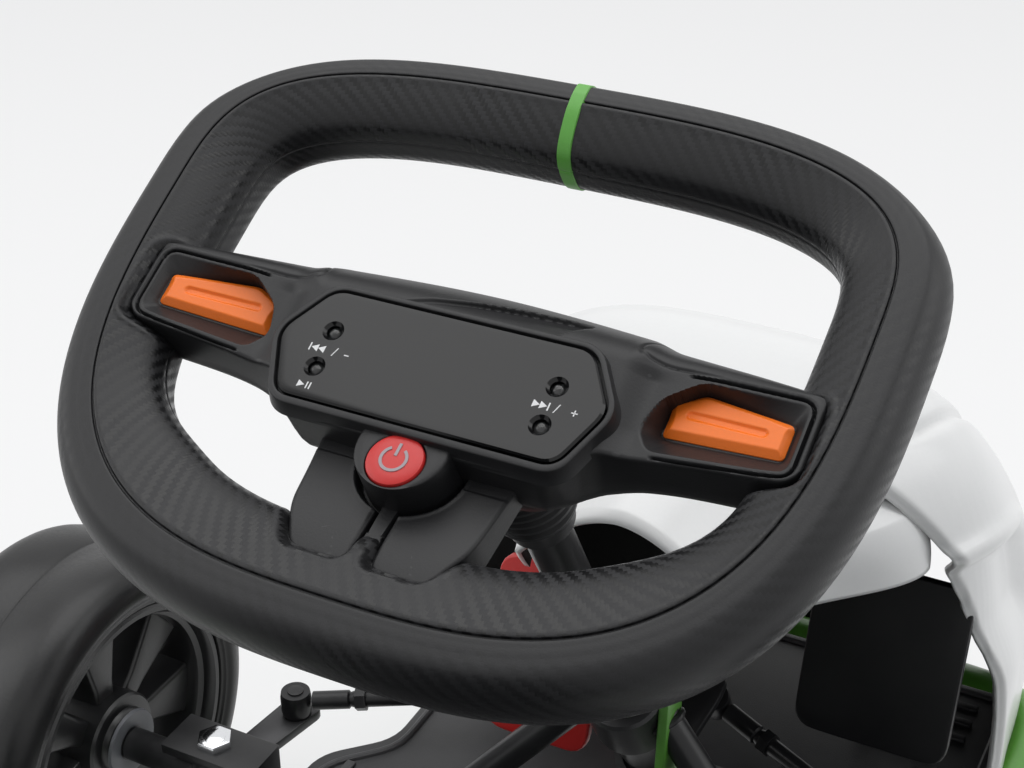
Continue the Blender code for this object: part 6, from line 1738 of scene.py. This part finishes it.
def make_console():
    bm = bmesh.new()
    brick(bm, (0.0500, 0.0600, 0.0340), (-0.230, 0.015, 0.1113), 0.0065, 4)
    for x, y in ((-0.249, -0.009), (-0.211, -0.009), (-0.249, 0.039), (-0.211, 0.039)):
        bolt(bm, 0.0026, 0.0012, Matrix.Translation((x, y, 0.1276)), sides=20)
    case = piece("switch_case", bm, BLACK, "chassis", "switch_console")
    hole = bmesh.new()
    brick(hole, (0.0170, 0.0280, 0.0240), (-0.230, 0.015, 0.1271), 0.0004, 1)
    carve(case, [cutter(hole)])
    set_shading(case.data, 32, rounded=False)
    dress("direction_rocker", RED, 0.0010, 3, 25)
    dress("control_board", BOARD, 0.0003, 1, 30)


make_column()
make_boot()
make_tie_rods()
make_frame()
make_front_corners()
for wheel_side, wheel_label in SIDES:
    make_wheel(f"front_wheel_{wheel_label}", wheel_side, FRONT_AXLE_Y, FRONT_RADIUS, 0.085, 0.0062)
    make_wheel(f"rear_wheel_{wheel_label}", wheel_side, REAR_AXLE_Y, REAR_RADIUS, 0.100, 0.0079)
make_cowl()
make_column_cover()
make_deck()
make_bumpers()
make_pedal("brake_pedal", "brake", 0.0580, 0.0580, -0.3130, -0.4150, 0.145, 0.240, RED)
make_pedal("drive_pedal", "drive", -0.0935, 0.0800, -0.3910, -0.4400, 0.140, 0.235, SATIN_BLACK)
make_seat()
make_drive()
make_battery()
make_console()


# Floor, light and camera

def show_background(tree, strength, lit, glow, sink):
    """Mixes a glow over a lit shader for rays from the camera, from mirrors and through glass."""
    paths = tree.nodes.new("ShaderNodeLightPath")
    seen = calc(tree, "MAXIMUM", paths.outputs["Is Camera Ray"], paths.outputs["Is Glossy Ray"])
    seen = calc(tree, "MAXIMUM", seen, paths.outputs["Is Transmission Ray"])
    mix = tree.nodes.new("ShaderNodeMixShader")
    tree.links.new(calc(tree, "MULTIPLY", seen, strength), mix.inputs[0])
    for shader, socket in ((lit, mix.inputs[1]), (glow, mix.inputs[2])):
        tree.links.new(shader.outputs[0], socket)
    glow.inputs["Color"].default_value = (1.0, 1.0, 1.0, 1.0)
    glow.inputs["Strength"].default_value = 1.0
    tree.links.new(mix.outputs[0], tree.nodes[sink].inputs["Surface"])


def make_stage():
    bm = bmesh.new()
    bmesh.ops.create_grid(bm, x_segments=2, y_segments=2, size=14.0)
    floor = add_object("studio_floor", mesh_from("studio_floor", bm))
    made, tree, shader = new_material("studio_floor")
    place = tree.nodes.new("ShaderNodeTexCoord")
    haze = clouds(tree, place.outputs["Object"], 3.0)
    tree.links.new(spread(tree, haze, 0.2, 0.8, 0.75, 0.85), shader.inputs["Roughness"])
    shader.inputs["Base Color"].default_value = (0.86, 0.86, 0.86, 1.0)
    # Less than all of the glow, so that the floor keeps the kart's shadow
    show_background(tree, 0.62, shader, tree.nodes.new("ShaderNodeEmission"), "Material Output")
    floor.data.materials.append(made)

    world = bpy.data.worlds.new("studio")
    bpy.context.scene.world = world
    world.use_nodes = True
    tree = world.node_tree
    soft = tree.nodes["Background"]
    soft.inputs["Color"].default_value = (0.92, 0.95, 1.0, 1.0)
    soft.inputs["Strength"].default_value = 0.38
    show_background(tree, 1.0, soft, tree.nodes.new("ShaderNodeBackground"), "World Output")


def make_lamps():
    target = Vector((0, -0.1, 0.4))
    for name, place, size, power in (
        ("top_softbox", (0.2, -0.6, 2.3), (2.4, 1.8), 27),
        ("left_softbox", (1.9, 0.5, 1.5), (1.4, 1.8), 12),
        ("right_softbox", (-1.8, -0.9, 1.5), (1.2, 1.6), 11),
    ):
        light = bpy.data.lights.new(name, "AREA")
        light.shape = "RECTANGLE"
        light.size, light.size_y = size
        light.energy = power
        obj = add_object(name, light)
        obj.location = place
        obj.rotation_euler = (target - Vector(place)).to_track_quat("-Z", "Y").to_euler()


def make_camera():
    """The photograph's view."""
    place = Vector((-0.253, 0.336, 0.760))
    right = Vector((-0.891, -0.453, 0.0)).normalized()
    ahead = Vector((0.394, -0.773, -0.497)).normalized()
    up = right.cross(ahead)
    lens = bpy.data.cameras.new("photo_view")
    # 1800 pixels of focal length in a picture 1024 pixels wide
    lens.lens = 63.28
    lens.sensor_width = 36.0
    lens.clip_start = 0.01
    camera = add_object("photo_view", lens)
    camera.matrix_world = Matrix.Translation(place) @ Matrix((right, up, -ahead)).transposed().to_4x4()
    bpy.context.scene.camera = camera


make_stage()
make_lamps()
make_camera()
bpy.context.scene.view_settings.view_transform = "Standard"
